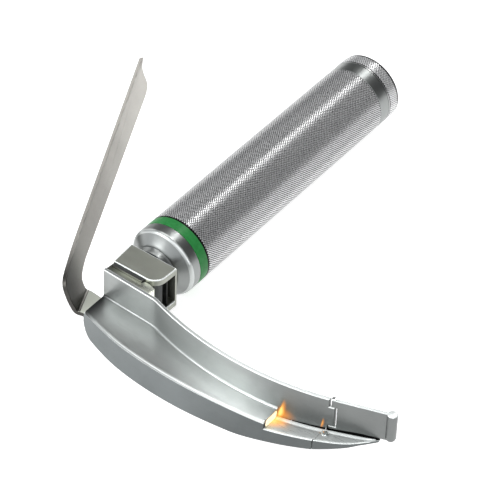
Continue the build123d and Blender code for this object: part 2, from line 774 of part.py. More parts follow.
with BuildPart() as tip_spatula:
    with BuildSketch(bed(5)):
        with BuildLine():
            Polyline(
                (HINGE_X, spatula_y(HINGE_X)),
                (96.0, tip_y(96.0)),
                (BEAD_X, tip_y(BEAD_X)),
                (BEAD_X, tip_y(BEAD_X) + TIP_SHEET),
                (96.0, tip_y(96.0) + TIP_SHEET),
                (HINGE_X, spatula_y(HINGE_X) + TIP_SHEET),
                close=True,
            )
        make_face()
        with Locations((HINGE_X, HINGE_Y)):
            Circle(BARREL_R)
        with Locations((HINGE_X, HINGE_Y)):
            Circle(HINGE_R + 0.03, mode=Mode.SUBTRACT)
    extrude(amount=RIGHT_EDGE - 5)
    with BuildSketch(upright(10)):
        with BuildLine():
            Polyline(
                (NOTCH_X - 1, 0),
                (NOTCH_X - 1, slope_z(NOTCH_X - 1) - 1.0),
                (BEAD_X + 5, slope_z(BEAD_X + 5) - 1.0),
                (BEAD_X + 5, 0),
                close=True,
            )
        make_face()
        with Locations((TIP_START_X - 5, TONGUE_MID)):
            Rectangle(10, TONGUE_HIGH - TONGUE_LOW + 2 * PLAY)
    extrude(amount=60, mode=Mode.SUBTRACT)
    with BuildSketch(bed(BEAD_LOW)):
        with Locations((BEAD_X, BEAD_Y)):
            Circle(BEAD_R)
    extrude(amount=RIGHT_EDGE - BEAD_LOW)
tip_spatula.part.label = "tip_spatula"
export_step(tip_spatula.part, "parts/tip_spatula.step")

TIP_FLANGE_X = SLIT_X + SLIT_WIDTH
TIP_FLANGE_RISE = 106.6
TIP_FLANGE_END = 111.6
TIP_CURVE = [(TIP_FLANGE_X, -37.5), (100.4, -34.4), (105.3, -31.2), (TIP_FLANGE_END, -24.4)]
TIP_FLANGE_SHEET = 1.0
with BuildPart() as tip_flange:
    with BuildSketch(bed(2)):
        add(strip_between(TIP_CURVE, TIP_FLANGE_SHEET))
    extrude(amount=10)
    with BuildSketch(upright(-20)):
        with BuildLine():
            Polyline(
                (TIP_FLANGE_X, 3.6),
                (TIP_FLANGE_RISE, slope_z(TIP_FLANGE_RISE) - 1.0),
                (TIP_FLANGE_END, slope_z(TIP_FLANGE_END) - 1.0),
                (TIP_FLANGE_END, slope_z(TIP_FLANGE_END)),
                (TIP_FLANGE_X, slope_z(TIP_FLANGE_X)),
                close=True,
            )
        make_face()
    extrude(amount=30, mode=Mode.INTERSECT)
    with BuildSketch(SLOPE):
        with BuildLine():
            edge = Spline(*[(slope_u(x), y + 0.4) for x, y in TIP_CURVE])
            Polyline(
                edge @ 1,
                (slope_u(TIP_FLANGE_END), tip_y(TIP_FLANGE_END)),
                (slope_u(96.2), tip_y(96.2)),
                (slope_u(TIP_FLANGE_X), spatula_y(SLIT_X) - 0.5),
                edge @ 0,
            )
        make_face()
        with Locations((slope_u(LINK_X), LINK_Y)):
            Circle(LINK_R + 0.1, mode=Mode.SUBTRACT)
    extrude(amount=-1.0)
    add(tip_spatula.part, mode=Mode.SUBTRACT)
tip_flange.part.label = "tip_flange"
export_step(tip_flange.part, "parts/tip_flange.step")

LINK_TOP = slope_z(LINK_X) + 0.1
with BuildPart() as link_rivet:
    with BuildSketch(bed(ROD_LOW)):
        with Locations((LINK_X, LINK_Y)):
            Circle(LINK_R - 0.01)
    extrude(amount=LINK_TOP - ROD_LOW)
    with BuildSketch(bed(LINK_TOP)):
        with Locations((LINK_X, LINK_Y)):
            Circle(1.3)
    extrude(amount=0.6)
link_rivet.part.label = "link_rivet"
export_step(link_rivet.part, "parts/link_rivet.step")

with BuildPart() as tip_hinge_pin:
    with BuildSketch(bed(slope_z(HINGE_X) - 1.0)):
        with Locations((HINGE_X, HINGE_Y)):
            Circle(HINGE_R)
    extrude(amount=RIGHT_EDGE + 0.05 - slope_z(HINGE_X) + 1.0)
    with BuildSketch(bed(RIGHT_EDGE + 0.05)):
        with Locations((HINGE_X, HINGE_Y)):
            Circle(0.95)
    extrude(amount=0.5)
tip_hinge_pin.part.label = "tip_hinge_pin"
export_step(tip_hinge_pin.part, "parts/tip_hinge_pin.step")
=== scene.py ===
from math import cos, hypot, pi, radians, sin, sqrt

import bmesh
import bpy
from mathutils import Matrix, Vector


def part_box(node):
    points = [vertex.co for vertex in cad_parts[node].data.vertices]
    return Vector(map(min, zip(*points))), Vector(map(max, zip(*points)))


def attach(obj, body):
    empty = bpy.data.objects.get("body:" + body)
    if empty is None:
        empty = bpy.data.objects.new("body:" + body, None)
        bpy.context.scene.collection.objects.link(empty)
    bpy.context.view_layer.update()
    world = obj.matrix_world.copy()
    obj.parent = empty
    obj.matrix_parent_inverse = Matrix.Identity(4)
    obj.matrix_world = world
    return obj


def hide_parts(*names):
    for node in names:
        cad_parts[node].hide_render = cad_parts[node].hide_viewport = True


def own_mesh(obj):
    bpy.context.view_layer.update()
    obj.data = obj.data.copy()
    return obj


# Laryngoscope with a hinged, lever-operated blade tip. Lengths are millimetres from the handle
# axis (x), the front edge of the green ring (y) and the table (z); placed() puts them in the frame.

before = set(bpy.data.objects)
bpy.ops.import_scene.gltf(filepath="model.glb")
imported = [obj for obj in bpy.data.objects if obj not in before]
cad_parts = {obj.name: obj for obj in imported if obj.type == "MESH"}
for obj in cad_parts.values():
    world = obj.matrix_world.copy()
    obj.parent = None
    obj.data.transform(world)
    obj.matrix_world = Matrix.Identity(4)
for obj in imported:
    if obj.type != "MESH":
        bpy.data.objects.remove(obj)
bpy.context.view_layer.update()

MM = 0.001
ring_low, ring_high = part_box("marking_ring")
ORIGIN = Vector(((ring_low.x + ring_high.x) / 2, ring_low.y, 0))
HANDLE_R = (ring_high.x - ring_low.x) / 2 / MM
AXIS_Z = HANDLE_R


def local(point):
    """A point of the frame in this script's millimetres."""
    return (point - ORIGIN) / MM


def placed(x, y, z):
    """A point in this script's millimetres, in the frame's metres."""
    return ORIGIN + Vector((x, y, z)) * MM


def low_of(node):
    return local(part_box(node)[0])


def high_of(node):
    return local(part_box(node)[1])


def middle_of(node):
    """The x and y of a node's middle."""
    low, high = low_of(node), high_of(node)
    return (low.x + high.x) / 2, (low.y + high.y) / 2


# ---------------- sizes, worked out from the frame
RING_END = high_of("marking_ring").y
TUBE_END = high_of("handle_tube").y
CAP_START, CAP_END = TUBE_END + 0.2, high_of("base_cap").y
HEEL_X = low_of("spatula").x
RIGHT_EDGE = high_of("spatula").z
FORK_LOW, FORK_HIGH = low_of("hook_fork").z, high_of("hook_fork").z
FORK_HEEL_X, FORK_NOSE_X = low_of("hook_fork").x, high_of("hook_fork").x
FORK_BACK = high_of("hook_fork").y
PIN_X, PIN_Y = middle_of("hook_pin")
PIN_R = (high_of("hook_pin").x - low_of("hook_pin").x) / 2
BLOCK_LOW, BLOCK_FACE = low_of("heel_block").z, high_of("heel_block").y
COVER_TOP = high_of("guide_cover").z
EXIT_X = high_of("guide_cover").x
HINGE_X, HINGE_Y = middle_of("tip_hinge_pin")
TIP_RIGHT = high_of("tip_spatula").x
LINK_X, LINK_Y = middle_of("link_rivet")
SHEET = 1.5
NOSE_R = 5.25
CHEEK = 2.95
FORK_FRONT = PIN_Y - NOSE_R
LEDGE_Y = FORK_FRONT - 0.25
HEEL_Y = -28.0
KINK_X = 15.5
LOW_X, LOW_Y = 57.0, -35.7
REAR_RADIUS, FRONT_RADIUS = 132.0, 120.0
KINK_Y = LOW_Y + REAR_RADIUS - sqrt(REAR_RADIUS**2 - (KINK_X - LOW_X) ** 2)
TIP_SLOPE = 0.345
TIP_BEND_X = 96.0
SLOPE_RISE, SLOPE_Z = 0.092, 6.1
FLANGE_SHEET = 1.2
FLANGE_REAR = HEEL_X - 0.5
HEEL_ROUND = 6.0
RUN_OUT_X = 64.0
RUN_OUT_Z = 3.6
SLIT_X = 92.4
SLIT = 0.3
CURVE_END = SLIT_X + 0.2
TIP_FLANGE_RISE = 106.6
TIP_FLANGE_END = 111.6
TONGUE_LOW, TONGUE_HIGH = 10.0, 19.0
NOTCH_X = HINGE_X - 1.3
BEAD_R = 1.95
BEAD_X, BEAD_Y, BEAD_LOW = TIP_RIGHT - BEAD_R, high_of("tip_spatula").y - BEAD_R, 9.8
KNURLS = 84
KNURL_DEPTH = 0.22
KNURL_TOP = 0.46


# ---------------- mesh tools
def loft(rings, loop=False):
    """Skins a list of rings of points. A ring of one point is a pole; loop joins last to first."""
    mesh = bmesh.new()
    made = [[mesh.verts.new(point) for point in ring] for ring in rings]
    pairs = list(zip(made, made[1:]))
    if loop:
        pairs.append((made[-1], made[0]))
    for near, far in pairs:
        count = max(len(near), len(far))
        for i in range(count):
            j = (i + 1) % count
            corners = [near[i % len(near)], near[j % len(near)], far[j % len(far)], far[i % len(far)]]
            mesh.faces.new(list(dict.fromkeys(corners)))
    if not loop:
        for ring in (made[0], made[-1]):
            if len(ring) > 2:
                mesh.faces.new(ring)
    bmesh.ops.recalc_face_normals(mesh, faces=mesh.faces)
    return mesh


def joined(*meshes):
    """Several bmeshes as one, in one mesh."""
    whole = bmesh.new()
    for mesh in meshes:
        part = bpy.data.meshes.new("part")
        mesh.to_mesh(part)
        mesh.free()
        whole.from_mesh(part)
        bpy.data.meshes.remove(part)
    return whole


def counterclockwise(outline):
    """The outline in counterclockwise order."""
    pairs = zip(outline, [*outline[1:], outline[0]])
    area = sum(xa * yb - xb * ya for (xa, ya), (xb, yb) in pairs)
    return outline if area > 0 else outline[::-1]


def inset(outline, distance):
    """The same outline, counterclockwise, with every side moved in by distance."""
    count = len(outline)
    moved = []
    for i, (x, y) in enumerate(outline):
        (xa, ya), (xb, yb) = outline[i - 1], outline[(i + 1) % count]
        la, lb = hypot(x - xa, y - ya), hypot(xb - x, yb - y)
        na = (-(y - ya) / la, (x - xa) / la)
        nb = (-(yb - y) / lb, (xb - x) / lb)
        share = distance / max(1 + na[0] * nb[0] + na[1] * nb[1], 0.4)
        moved.append((x + (na[0] + nb[0]) * share, y + (na[1] + nb[1]) * share))
    return moved


def rounded(corners, radius, steps=3):
    """A closed outline with each corner rounded; a corner may bring its own radius."""
    count = len(corners)
    outline = []
    for i, corner in enumerate(corners):
        x, y = corner[:2]
        own = corner[2] if len(corner) > 2 else radius
        ends = []
        for other in (corners[i - 1], corners[(i + 1) % count]):
            length = hypot(other[0] - x, other[1] - y)
            reach = min(own, length * 0.45) / length
            ends.append((x + (other[0] - x) * reach, y + (other[1] - y) * reach))
        (xa, ya), (xb, yb) = ends
        for step in range(steps + 1):
            t = step / steps
            u = 1 - t
            outline.append(
                (u * u * xa + 2 * u * t * x + t * t * xb, u * u * ya + 2 * u * t * y + t * t * yb)
            )
    return outline


def prism(outline, low, high, place, edge=0.25, steps=2):
    """An outline carried from low to high, with both rims rounded by edge."""
    outline = counterclockwise(outline)
    turns = [pi / 2 * step / steps for step in range(steps + 1)]
    rings = [(low + edge * (1 - cos(turn)), edge * (1 - sin(turn))) for turn in turns]
    rings += [(high - edge * (1 - cos(turn)), edge * (1 - sin(turn))) for turn in reversed(turns)]
    return loft([[place(u, v, level) for u, v in inset(outline, depth)] for level, depth in rings])


def flat(x, y, z):
    return Vector((x, y, z))


def bent_plate(outline, thickness, stations, place, edge=0.3, across=(1, 0, 0)):
    """A plate cut flat to an outline, scored across it at the stations, bent by place."""
    mesh = prism(outline, 0, thickness, flat, edge, 3)
    for station in stations:
        bmesh.ops.bisect_plane(
            mesh,
            geom=[*mesh.verts, *mesh.edges, *mesh.faces],
            plane_co=station * Vector(across),
            plane_no=across,
            dist=1e-5,
        )
    for vertex in mesh.verts:
        vertex.co = place(*vertex.co)
    if mesh.calc_volume(signed=True) < 0:
        bmesh.ops.reverse_faces(mesh, faces=mesh.faces)
    return mesh


def along(stations, section, edge=0.25, steps=2):
    """A bar whose section(x) is an outline of (y, z), with both ends rounded by edge."""
    start, end = stations[0], stations[-1]
    turns = [pi / 2 * step / steps for step in range(steps)]
    rings = []
    for turn in turns:
        x = start + edge * (1 - cos(turn))
        rings.append((x, inset(section(x), edge * (1 - sin(turn)))))
    for x in [start + edge, *[x for x in stations if start + edge < x < end - edge], end - edge]:
        rings.append((x, section(x)))
    for turn in reversed(turns):
        x = end - edge * (1 - cos(turn))
        rings.append((x, inset(section(x), edge * (1 - sin(turn)))))
    return loft([[Vector((x, y, z)) for y, z in ring] for x, ring in rings])


def lathe(profile, place, steps, loop=False):
    """A round piece. The profile is (radius, level) pairs, and place puts (u, v, level)."""
    rings = []
    for radius, level in profile:
        angles = [2 * pi * i / steps for i in range(steps if radius > 0 else 1)]
        rings.append([place(radius * cos(a), radius * sin(a), level) for a in angles])
    return loft(rings, loop)


def turned(profile):
    """A ring round the handle axis, its closed profile in (radius, y) pairs."""
    return lathe(profile, lambda u, v, y: Vector((u, y, AXIS_Z + v)), 96, loop=True)


def pillar(x, y, profile):
    """A pin standing parallel to Z at (x, y), its profile in (radius, z) pairs."""
    return lathe(profile, lambda u, v, z: Vector((x + u, y + v, z)), 40)


def arc(x, y, radius, start, end, steps):
    """Points on a circle from start to end degrees."""
    angles = [radians(start + (end - start) * i / steps) for i in range(steps + 1)]
    return [(x + radius * cos(a), y + radius * sin(a)) for a in angles]


def spaced(start, end, count):
    return [start + (end - start) * i / count for i in range(count + 1)]


def through(points, x):
    """A smooth curve through a few (x, y) points, read at x (Catmull-Rom on the slopes)."""
    points = sorted(points)
    last = len(points) - 2
    k = max([0] + [i for i in range(last + 1) if points[i][0] <= x])
    (x0, y0), (x1, y1) = points[k], points[k + 1]
    before = points[k - 1] if k > 0 else None
    after = points[k + 2] if k < last else None
    chord = (y1 - y0) / (x1 - x0)
    slope_in = (y1 - before[1]) / (x1 - before[0]) if before else None
    slope_out = (after[1] - y0) / (after[0] - x0) if after else None
    slope_in = 1.5 * chord - 0.5 * slope_out if slope_in is None else slope_in
    slope_out = 1.5 * chord - 0.5 * slope_in if slope_out is None else slope_out
    t = (x - x0) / (x1 - x0)
    span = x1 - x0
    return (
        (2 * t**3 - 3 * t**2 + 1) * y0
        + (t**3 - 2 * t**2 + t) * span * slope_in
        + (3 * t**2 - 2 * t**3) * y1
        + (t**3 - t**2) * span * slope_out
    )


def looks_up(face):
    return face.normal.z > 0.5


def upper_edge(face):
    return 0.15 < face.normal.z < 0.97


def piece(name, mesh, body, material, nodes=(), smooth=35, accents=()):
    """Puts a mesh made in millimetres into the frame, on its body, standing for its CAD nodes.

    accents are more materials, each with a test that picks the faces that get it."""
    data = bpy.data.meshes.new(name)
    mesh.to_mesh(data)
    mesh.free()
    data.transform(Matrix.Translation(ORIGIN) @ Matrix.Scale(MM, 4))
    data.materials.append(material)
    for number, (finish, picks) in enumerate(accents, 1):
        data.materials.append(finish)
        for face in data.polygons:
            if picks(face):
                face.material_index = number
    data.shade_smooth()
    data.set_sharp_from_angle(angle=radians(smooth))
    obj = bpy.data.objects.new(name, data)
    bpy.context.scene.collection.objects.link(obj)
    weighted = obj.modifiers.new("weighted", "WEIGHTED_NORMAL")
    weighted.keep_sharp = True
    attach(obj, body)
    if nodes:
        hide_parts(*nodes)
    return obj


# ---------------- materials
class Nodes:
    """A short way to write a node material."""

    def __init__(self, name):
        self.material = bpy.data.materials.new(name)
        self.material.use_nodes = True
        self.tree = self.material.node_tree
        self.shader = self.tree.nodes["Principled BSDF"]
        self.place = self.add("TexCoord").outputs["Object"]

    def add(self, kind, values=None, links=None, **settings):
        """A new shader node with its settings, its input values and its incoming links."""
        node = self.tree.nodes.new("ShaderNode" + kind)
        for setting, value in settings.items():
            setattr(node, setting, value)
        for socket, value in (values or {}).items():
            node.inputs[socket].default_value = value
        for socket, source in (links or {}).items():
            self.tree.links.new(source, node.inputs[socket])
        return node

    def noise(self, scale, stretch=(1, 1, 1), detail=3.0):
        mapping = self.add("Mapping", {"Scale": stretch}, {"Vector": self.place})
        values = {"Scale": scale, "Detail": detail, "Roughness": 0.55}
        return self.add("TexNoise", values, {"Vector": mapping.outputs["Vector"]}).outputs["Fac"]

    def ramp(self, fac, stops):
        ramp = self.add("ValToRGB", links={"Fac": fac})
        for _ in stops[2:]:
            ramp.color_ramp.elements.new(0.5)
        for element, (at, colour) in zip(ramp.color_ramp.elements, stops):
            element.position = at
            element.color = (*colour, 1)
        return ramp.outputs["Color"]

    def spread(self, value, start, end, low, high, kind="LINEAR"):
        """The value, carried from the range start to end over to the range low to high."""
        values = {"From Min": start, "From Max": end, "To Min": low, "To Max": high}
        mapped = self.add("MapRange", values, {"Value": value}, interpolation_type=kind)
        return mapped.outputs["Result"]

    def between(self, noise, low, high):
        return self.spread(noise, 0.3, 0.7, low, high)

    def part(self, vector, axis):
        return self.add("SeparateXYZ", links={"Vector": vector}).outputs[axis]

    def combined(self, kind, operation, first, second):
        """Two sockets through a Math or a VectorMath node."""
        return self.add(kind, links={0: first, 1: second}, operation=operation).outputs[0]

    def faded(self, colour, axis, start, end, share):
        """The colour, changing to a share of itself from start to end along X or Y, as painted light
        and shade.
        """
        at = {"X": placed(start, 0, 0).x, "Y": placed(0, start, 0).y}[axis]
        reach = (end - start) * MM
        fall = self.spread(self.part(self.place, axis), at, at + reach, 1.0, share, "SMOOTHSTEP")
        scaled = self.add("VectorMath", links={"Vector": colour, "Scale": fall}, operation="SCALE")
        return scaled.outputs["Vector"]

    def lamplit(self, colour, glows):
        """The colour, warmed by the lamp. Glows are (centre, lean in degrees, radii, share)."""
        total = None
        for centre, lean, radii, share in glows:
            values = {
                "Location": placed(*centre),
                "Rotation": (0, radians(lean), 0),
                "Scale": [radius * MM for radius in radii],
            }
            near = self.add("Mapping", values, {"Vector": self.place}, vector_type="TEXTURE")
            near = near.outputs["Vector"]
            away = self.add("VectorMath", links={0: near}, operation="LENGTH").outputs["Value"]
            fall = self.spread(away, 0.0, 1.0, share, 0.0, "SMOOTHSTEP")
            ahead = self.spread(self.part(near, "X"), -GLOW_START, GLOW_START, 0.0, 1.0)
            lit = self.combined("Math", "MULTIPLY", fall, ahead)
            total = lit if total is None else self.combined("Math", "ADD", total, lit)
        self.glow(self.ramp(total, GLOW_LIGHT), GLOW_STRENGTH)
        return self.combined("VectorMath", "MULTIPLY", colour, self.ramp(total, GLOW_TINT))

    def bump(self, *layers):
        """Layers are (height, strength, distance in metres)."""
        normal = {}
        for height, strength, distance in layers:
            values = {"Strength": strength, "Distance": distance}
            made = self.add("Bump", values, {"Height": height, **normal})
            normal = {"Normal": made.outputs["Normal"]}
        self.tree.links.new(normal["Normal"], self.shader.inputs["Normal"])

    def glow(self, socket, strength):
        self.tree.links.new(socket, self.shader.inputs["Emission Color"])
        self.shader.inputs["Emission Strength"].default_value = strength

    def colour(self, socket):
        self.tree.links.new(socket, self.shader.inputs["Base Color"])

    def roughness(self, socket):
        self.tree.links.new(socket, self.shader.inputs["Roughness"])


GLOW_STRENGTH = 1.3
GLOW_START = 0.12
GLOW_LIGHT = [(0.0, (0, 0, 0)), (0.45, (0.50, 0.16, 0.01)), (1.0, (1.0, 0.62, 0.18))]
GLOW_TINT = [(0.0, (1, 1, 1)), (0.7, (1.0, 0.68, 0.36))]
COOL = (0.970, 1.010, 0.990)
TEAL = (0.930, 1.005, 1.010)
OLIVE = (0.99, 1.02, 0.90)
WARM = (1.03, 1.0, 0.93)
NEUTRAL = (1.0, 1.0, 1.0)


def grey(value, tint=COOL):
    return tuple(value * part for part in tint)


def steel(name, tone, rough, grain=(1, 1, 1), depth=0.3, tint=COOL, fades=(), glows=(), metal=1.0):
    """Stainless steel: satin grain along one direction, faint handling marks, uneven gloss.

    fades (axis, start, end, share) paint light and shade: from start to end the tone goes to that
    share.
    glows are the patches lit by the lamp. metal below 1 adds a whiter diffuse part: painted sheen."""
    made = Nodes(name)
    made.shader.inputs["Metallic"].default_value = metal
    marks = made.noise(55, detail=5.0)
    fine = made.noise(2600, grain, detail=4.0)
    blast = made.noise(9000, detail=2.0)
    stops = [(0.30, 0.88), (0.50, 1.0), (0.70, 1.08)]
    colour = made.ramp(marks, [(at, grey(tone * share, tint)) for at, share in stops])
    for axis, start, end, share in fades:
        colour = made.faded(colour, axis, start, end, share)
    if glows:
        colour = made.lamplit(colour, glows)
    made.colour(colour)
    made.roughness(made.between(fine, rough - 0.05, rough + 0.06))
    made.bump((fine, depth, 0.00002), (blast, depth * 0.6, 0.000012))
    return made.material


def knurled_steel(name, tone, rough):
    """Turned steel with painted shade in the knurl grooves: the colour falls off below the crests."""
    made = Nodes(name)
    made.shader.inputs["Metallic"].default_value = 1.0
    axis = placed(0, 0, AXIS_Z)
    level = made.add("VectorMath", {1: (1, 0, 1)}, {0: made.place}, operation="MULTIPLY")
    level = {0: level.outputs["Vector"]}
    reach = made.add("VectorMath", {1: (axis.x, 0, axis.z)}, level, operation="DISTANCE")
    floor_r = (HANDLE_R - KNURL_DEPTH) * MM
    height = made.spread(reach.outputs["Value"], floor_r, HANDLE_R * MM, 0.0, 1.0)
    # painted shade: near black at the groove floor, full tone at the crests
    stops = [(0.0, 0.02), (0.25, 0.06), (0.60, 0.85), (0.95, 1.0)]
    made.colour(made.ramp(height, [(at, grey(tone * share, NEUTRAL)) for at, share in stops]))
    fine = made.noise(2200, detail=4.0)
    made.roughness(made.between(fine, rough - 0.05, rough + 0.06))
    made.bump((fine, 0.15, 0.000015))
    return made.material


def plain(name, dark, light, rough, scale, metal=0.0, strength=0.3, depth=0.00004, gloss=0.5):
    """A moulded, coated or cast surface with speckle, mottled gloss and a fine skin."""
    made = Nodes(name)
    made.shader.inputs["Metallic"].default_value = metal
    made.shader.inputs["Specular IOR Level"].default_value = gloss
    speck = made.noise(scale, detail=5.0)
    made.colour(made.ramp(speck, [(0.35, dark), (0.65, light)]))
    made.roughness(made.between(made.noise(scale * 0.3), rough - 0.06, rough + 0.08))
    made.bump((made.noise(scale * 4), strength, depth))
    return made.material


ALONG_X = (0.04, 1.0, 1.0)
ALONG_Z = (1.0, 1.0, 0.03)
ON_BLADE = [
    ((EXIT_X + 0.8, -34, 9.8), 14, (2.4, 30, 6.8), 1.0),
    ((EXIT_X + 0.2, -34, 8.0), 0, (8.0, 30, 4.2), 0.5),
    ((EXIT_X + 16.3, -31, 10.2), 8, (1.1, 30, 3.4), 0.7),
]
ON_WEB = [((EXIT_X - 0.5, -36.5, 6.5), 0, (7.5, 4.5, 3.0), 0.75)]
# painted light and shade on the ledge: lighter past x 6, darker towards the heel
LEDGE_PAINTED_LIGHT_AND_SHADE = [("X", 6, 12, 1.35), ("X", 0, HEEL_X, 0.4)]
# painted shade and light on the spatula: darker towards the tip, lighter at the heel
BLADE_PAINTED_LIGHT_AND_SHADE = [("X", 56, 80, 0.54), ("X", 3, HEEL_X, 1.20)]
# painted light and shade on the housing: lighter towards the light exit, darker at the heel
COVER_PAINTED_LIGHT_AND_SHADE = [("X", 24, 67, 2.1), ("X", -2, HEEL_X, 0.14)]
# painted shade on the lever, darker down towards the fold
LEVER_PAINTED_SHADE = [("Y", 70, -20, 0.66), ("Y", -14, -34, 0.22)]
TURNING = (6.0, 0.4, 6.0)
knurl_steel = knurled_steel("knurl_steel", 0.58, 0.27)
cap_steel = knurled_steel("cap_steel", 0.76, 0.28)
turned_steel = steel("turned_steel", 0.30, 0.34, TURNING, depth=0.22)
# a brighter copy of the turned steel for the head's rounded knuckle: painted highlight
knuckle_highlight_steel = steel("knuckle_highlight_steel", 0.55, 0.32, TURNING, depth=0.22)
fork_steel = steel("fork_steel", 0.36, 0.40, (0.05, 1.0, 1.0), depth=0.35, tint=OLIVE)
ledge_steel = steel("ledge_steel", 0.68, 0.30, ALONG_X, tint=OLIVE, fades=LEDGE_PAINTED_LIGHT_AND_SHADE)
# a dark copy for the heel block's front, darker towards the heel: painted shade
insert_painted_shade_steel = steel("insert_painted_shade_steel", 0.17, 0.36, ALONG_X, tint=OLIVE, fades=LEDGE_PAINTED_LIGHT_AND_SHADE[1:])
blade_steel = steel("blade_steel", 0.37, 0.36, ALONG_X, fades=BLADE_PAINTED_LIGHT_AND_SHADE)
lit_steel = steel("lit_steel", 0.37, 0.36, ALONG_X, fades=BLADE_PAINTED_LIGHT_AND_SHADE, glows=ON_BLADE)
# painted shade: the flange darkens towards the tip
flange_steel = steel("flange_steel", 0.20, 0.36, ALONG_X, tint=TEAL, fades=[("X", 30, 80, 0.66)])
cover_steel = steel("cover_steel", 0.36, 0.36, ALONG_X, fades=COVER_PAINTED_LIGHT_AND_SHADE)
# painted sheen: whiter, partly diffuse steel that stays bright from every side, for the web and
# upward faces and edges
painted_sheen_steel = steel("painted_sheen_steel", 0.93, 0.26, ALONG_X, depth=0.06, glows=ON_WEB, metal=0.3)
# a darker copy of the web's painted sheen for the trough: painted shade
trough_shaded_sheen_steel = steel("trough_shaded_sheen_steel", 0.58, 0.30, ALONG_X, depth=0.12, glows=ON_WEB, metal=0.5)
lever_steel = steel(
    "lever_steel", 0.44, 0.34, (1.0, 0.05, 1.0), depth=0.35, tint=WARM, fades=LEVER_PAINTED_SHADE
)
# a whiter copy of the lever's steel for the root plate's upward faces: painted light
root_top_light_steel = steel("root_top_light_steel", 0.60, 0.36, ALONG_X, tint=OLIVE, metal=0.4)
shadow_steel = steel("shadow_steel", 0.04, 0.5, ALONG_X)
pin_steel = steel("pin_steel", 0.80, 0.16, ALONG_Z, depth=0.12)
# near-black steel for the heel block inside the fork: painted shade
block_painted_shade_steel = steel("block_painted_shade_steel", 0.09, 0.42, ALONG_X)
spring_steel = steel("spring_steel", 0.42, 0.28, (0.5, 0.5, 0.5), depth=0.2)
# painted highlight on the spatula's upward rim, brighter towards the tip
rim_highlight_steel = steel(
    "rim_highlight_steel", 0.30, 0.26, ALONG_X, depth=0.06, fades=[("X", 12, 60, 3.0)], metal=0.3
)
lit_front = (lit_steel, lambda face: face.normal.y < -0.5)
rim_painted_highlight = (rim_highlight_steel, looks_up)
# painted light on faces that look up and painted highlights on upper edges
top_painted_sheen = (painted_sheen_steel, looks_up)
edge_painted_highlight = (painted_sheen_steel, upper_edge)
green_paint = plain(
    "green_paint", (0.020, 0.170, 0.040), (0.030, 0.215, 0.055), 0.36, 900, strength=0.15, gloss=0.15
)
cell_wrap = plain("cell_wrap", (0.010, 0.013, 0.025), (0.022, 0.026, 0.042), 0.25, 300)
black_plastic = plain("black_plastic", (0.008, 0.008, 0.008), (0.018, 0.018, 0.018), 0.5, 900)
black_rubber = plain("black_rubber", (0.006, 0.006, 0.006), (0.014, 0.014, 0.013), 0.72, 1400)
contact_brass = plain("contact_brass", (0.55, 0.36, 0.11), (0.72, 0.50, 0.20), 0.26, 500, 1.0)


def clear_glass():
    """Lamp glass and polished fibre: clear, with faint draw marks."""
    made = Nodes("clear_glass")
    made.shader.inputs["Transmission Weight"].default_value = 0.9
    made.shader.inputs["IOR"].default_value = 1.48
    draw = made.noise(700, detail=2.0)
    made.colour(made.ramp(draw, [(0.3, (0.95, 0.93, 0.88)), (0.7, (1.0, 0.98, 0.95))]))
    made.roughness(made.between(draw, 0.04, 0.10))
    made.bump((draw, 0.1, 0.00001))
    return made.material


def lit_fibre():
    """The lit end of the fibre bundle: a warm glow, brighter where a fibre ends."""
    made = Nodes("lit_fibre")
    ends = made.noise(5200, detail=1.0)
    made.colour(made.ramp(ends, [(0.3, (1.0, 0.86, 0.55)), (0.7, (1.0, 0.95, 0.82))]))
    made.glow(made.ramp(ends, [(0.3, (1.0, 0.72, 0.32)), (0.7, (1.0, 0.90, 0.66))]), 0.75)
    made.roughness(made.between(ends, 0.2, 0.35))
    made.bump((ends, 0.25, 0.00003))
    return made.material


glass = clear_glass()
fibre_glow = lit_fibre()


# ---------------- knurled handle
def knurled(before, start, end, after):
    """A tube whose outside is cut with crossed grooves between start and end.

    before and after are (radius, y) profiles of the plain stretches on both sides. A bore joins
    them where they end at one radius; otherwise both ends are closed."""
    pitch = 2 * pi * HANDLE_R / KNURLS
    rows = 2 * max(1, round((end - start) / pitch))
    step = (end - start) / rows
    half = pi / KNURLS
    wrap = 2 * KNURLS
    floor_r = HANDLE_R - KNURL_DEPTH
    mesh = bmesh.new()

    def vertex(column, row, r):
        angle = half * column
        return mesh.verts.new((r * cos(angle), start + step * row, AXIS_Z + r * sin(angle)))

    def stitch(near, far):
        for i in range(len(near)):
            j = (i + 1) % len(near)
            mesh.faces.new((near[i], near[j], far[j], far[i]))

    valley = {}
    for row in range(rows + 1):
        for column in range(row % 2, wrap, 2):
            valley[column, row] = vertex(column, row, floor_r)
    for row in range(rows + 1):
        for column in range((row + 1) % 2, wrap, 2):
            left = valley[(column - 1) % wrap, row]
            right = valley[(column + 1) % wrap, row]
            if row == 0:
                mesh.faces.new((left, right, valley[column, 1]))
                continue
            if row == rows:
                mesh.faces.new((right, left, valley[column, rows - 1]))
                continue
            corners = [left, valley[column, row - 1], right, valley[column, row + 1]]
            spread = ((-1, 0), (0, -1), (1, 0), (0, 1))
            top = [vertex(column + KNURL_TOP * u, row + KNURL_TOP * v, HANDLE_R) for u, v in spread]
            mesh.faces.new(top)
            stitch(corners, top)
    for profile, row in ((before, 0), (after, rows)):
        near = [valley[column, row] for column in range(row % 2, wrap, 2)]
        for r, y in profile:
            far = []
            for column in range(row % 2, wrap, 2):
                angle = half * column
                far.append(mesh.verts.new((r * cos(angle), y, AXIS_Z + r * sin(angle))))
            stitch(near, far)
            near = far
        if row == 0:
            first = near
    if before[-1][0] == after[-1][0]:
        stitch(first, near)
    else:
        mesh.faces.new(first)
        mesh.faces.new(near)
    bmesh.ops.recalc_face_normals(mesh, faces=mesh.faces)
    return mesh


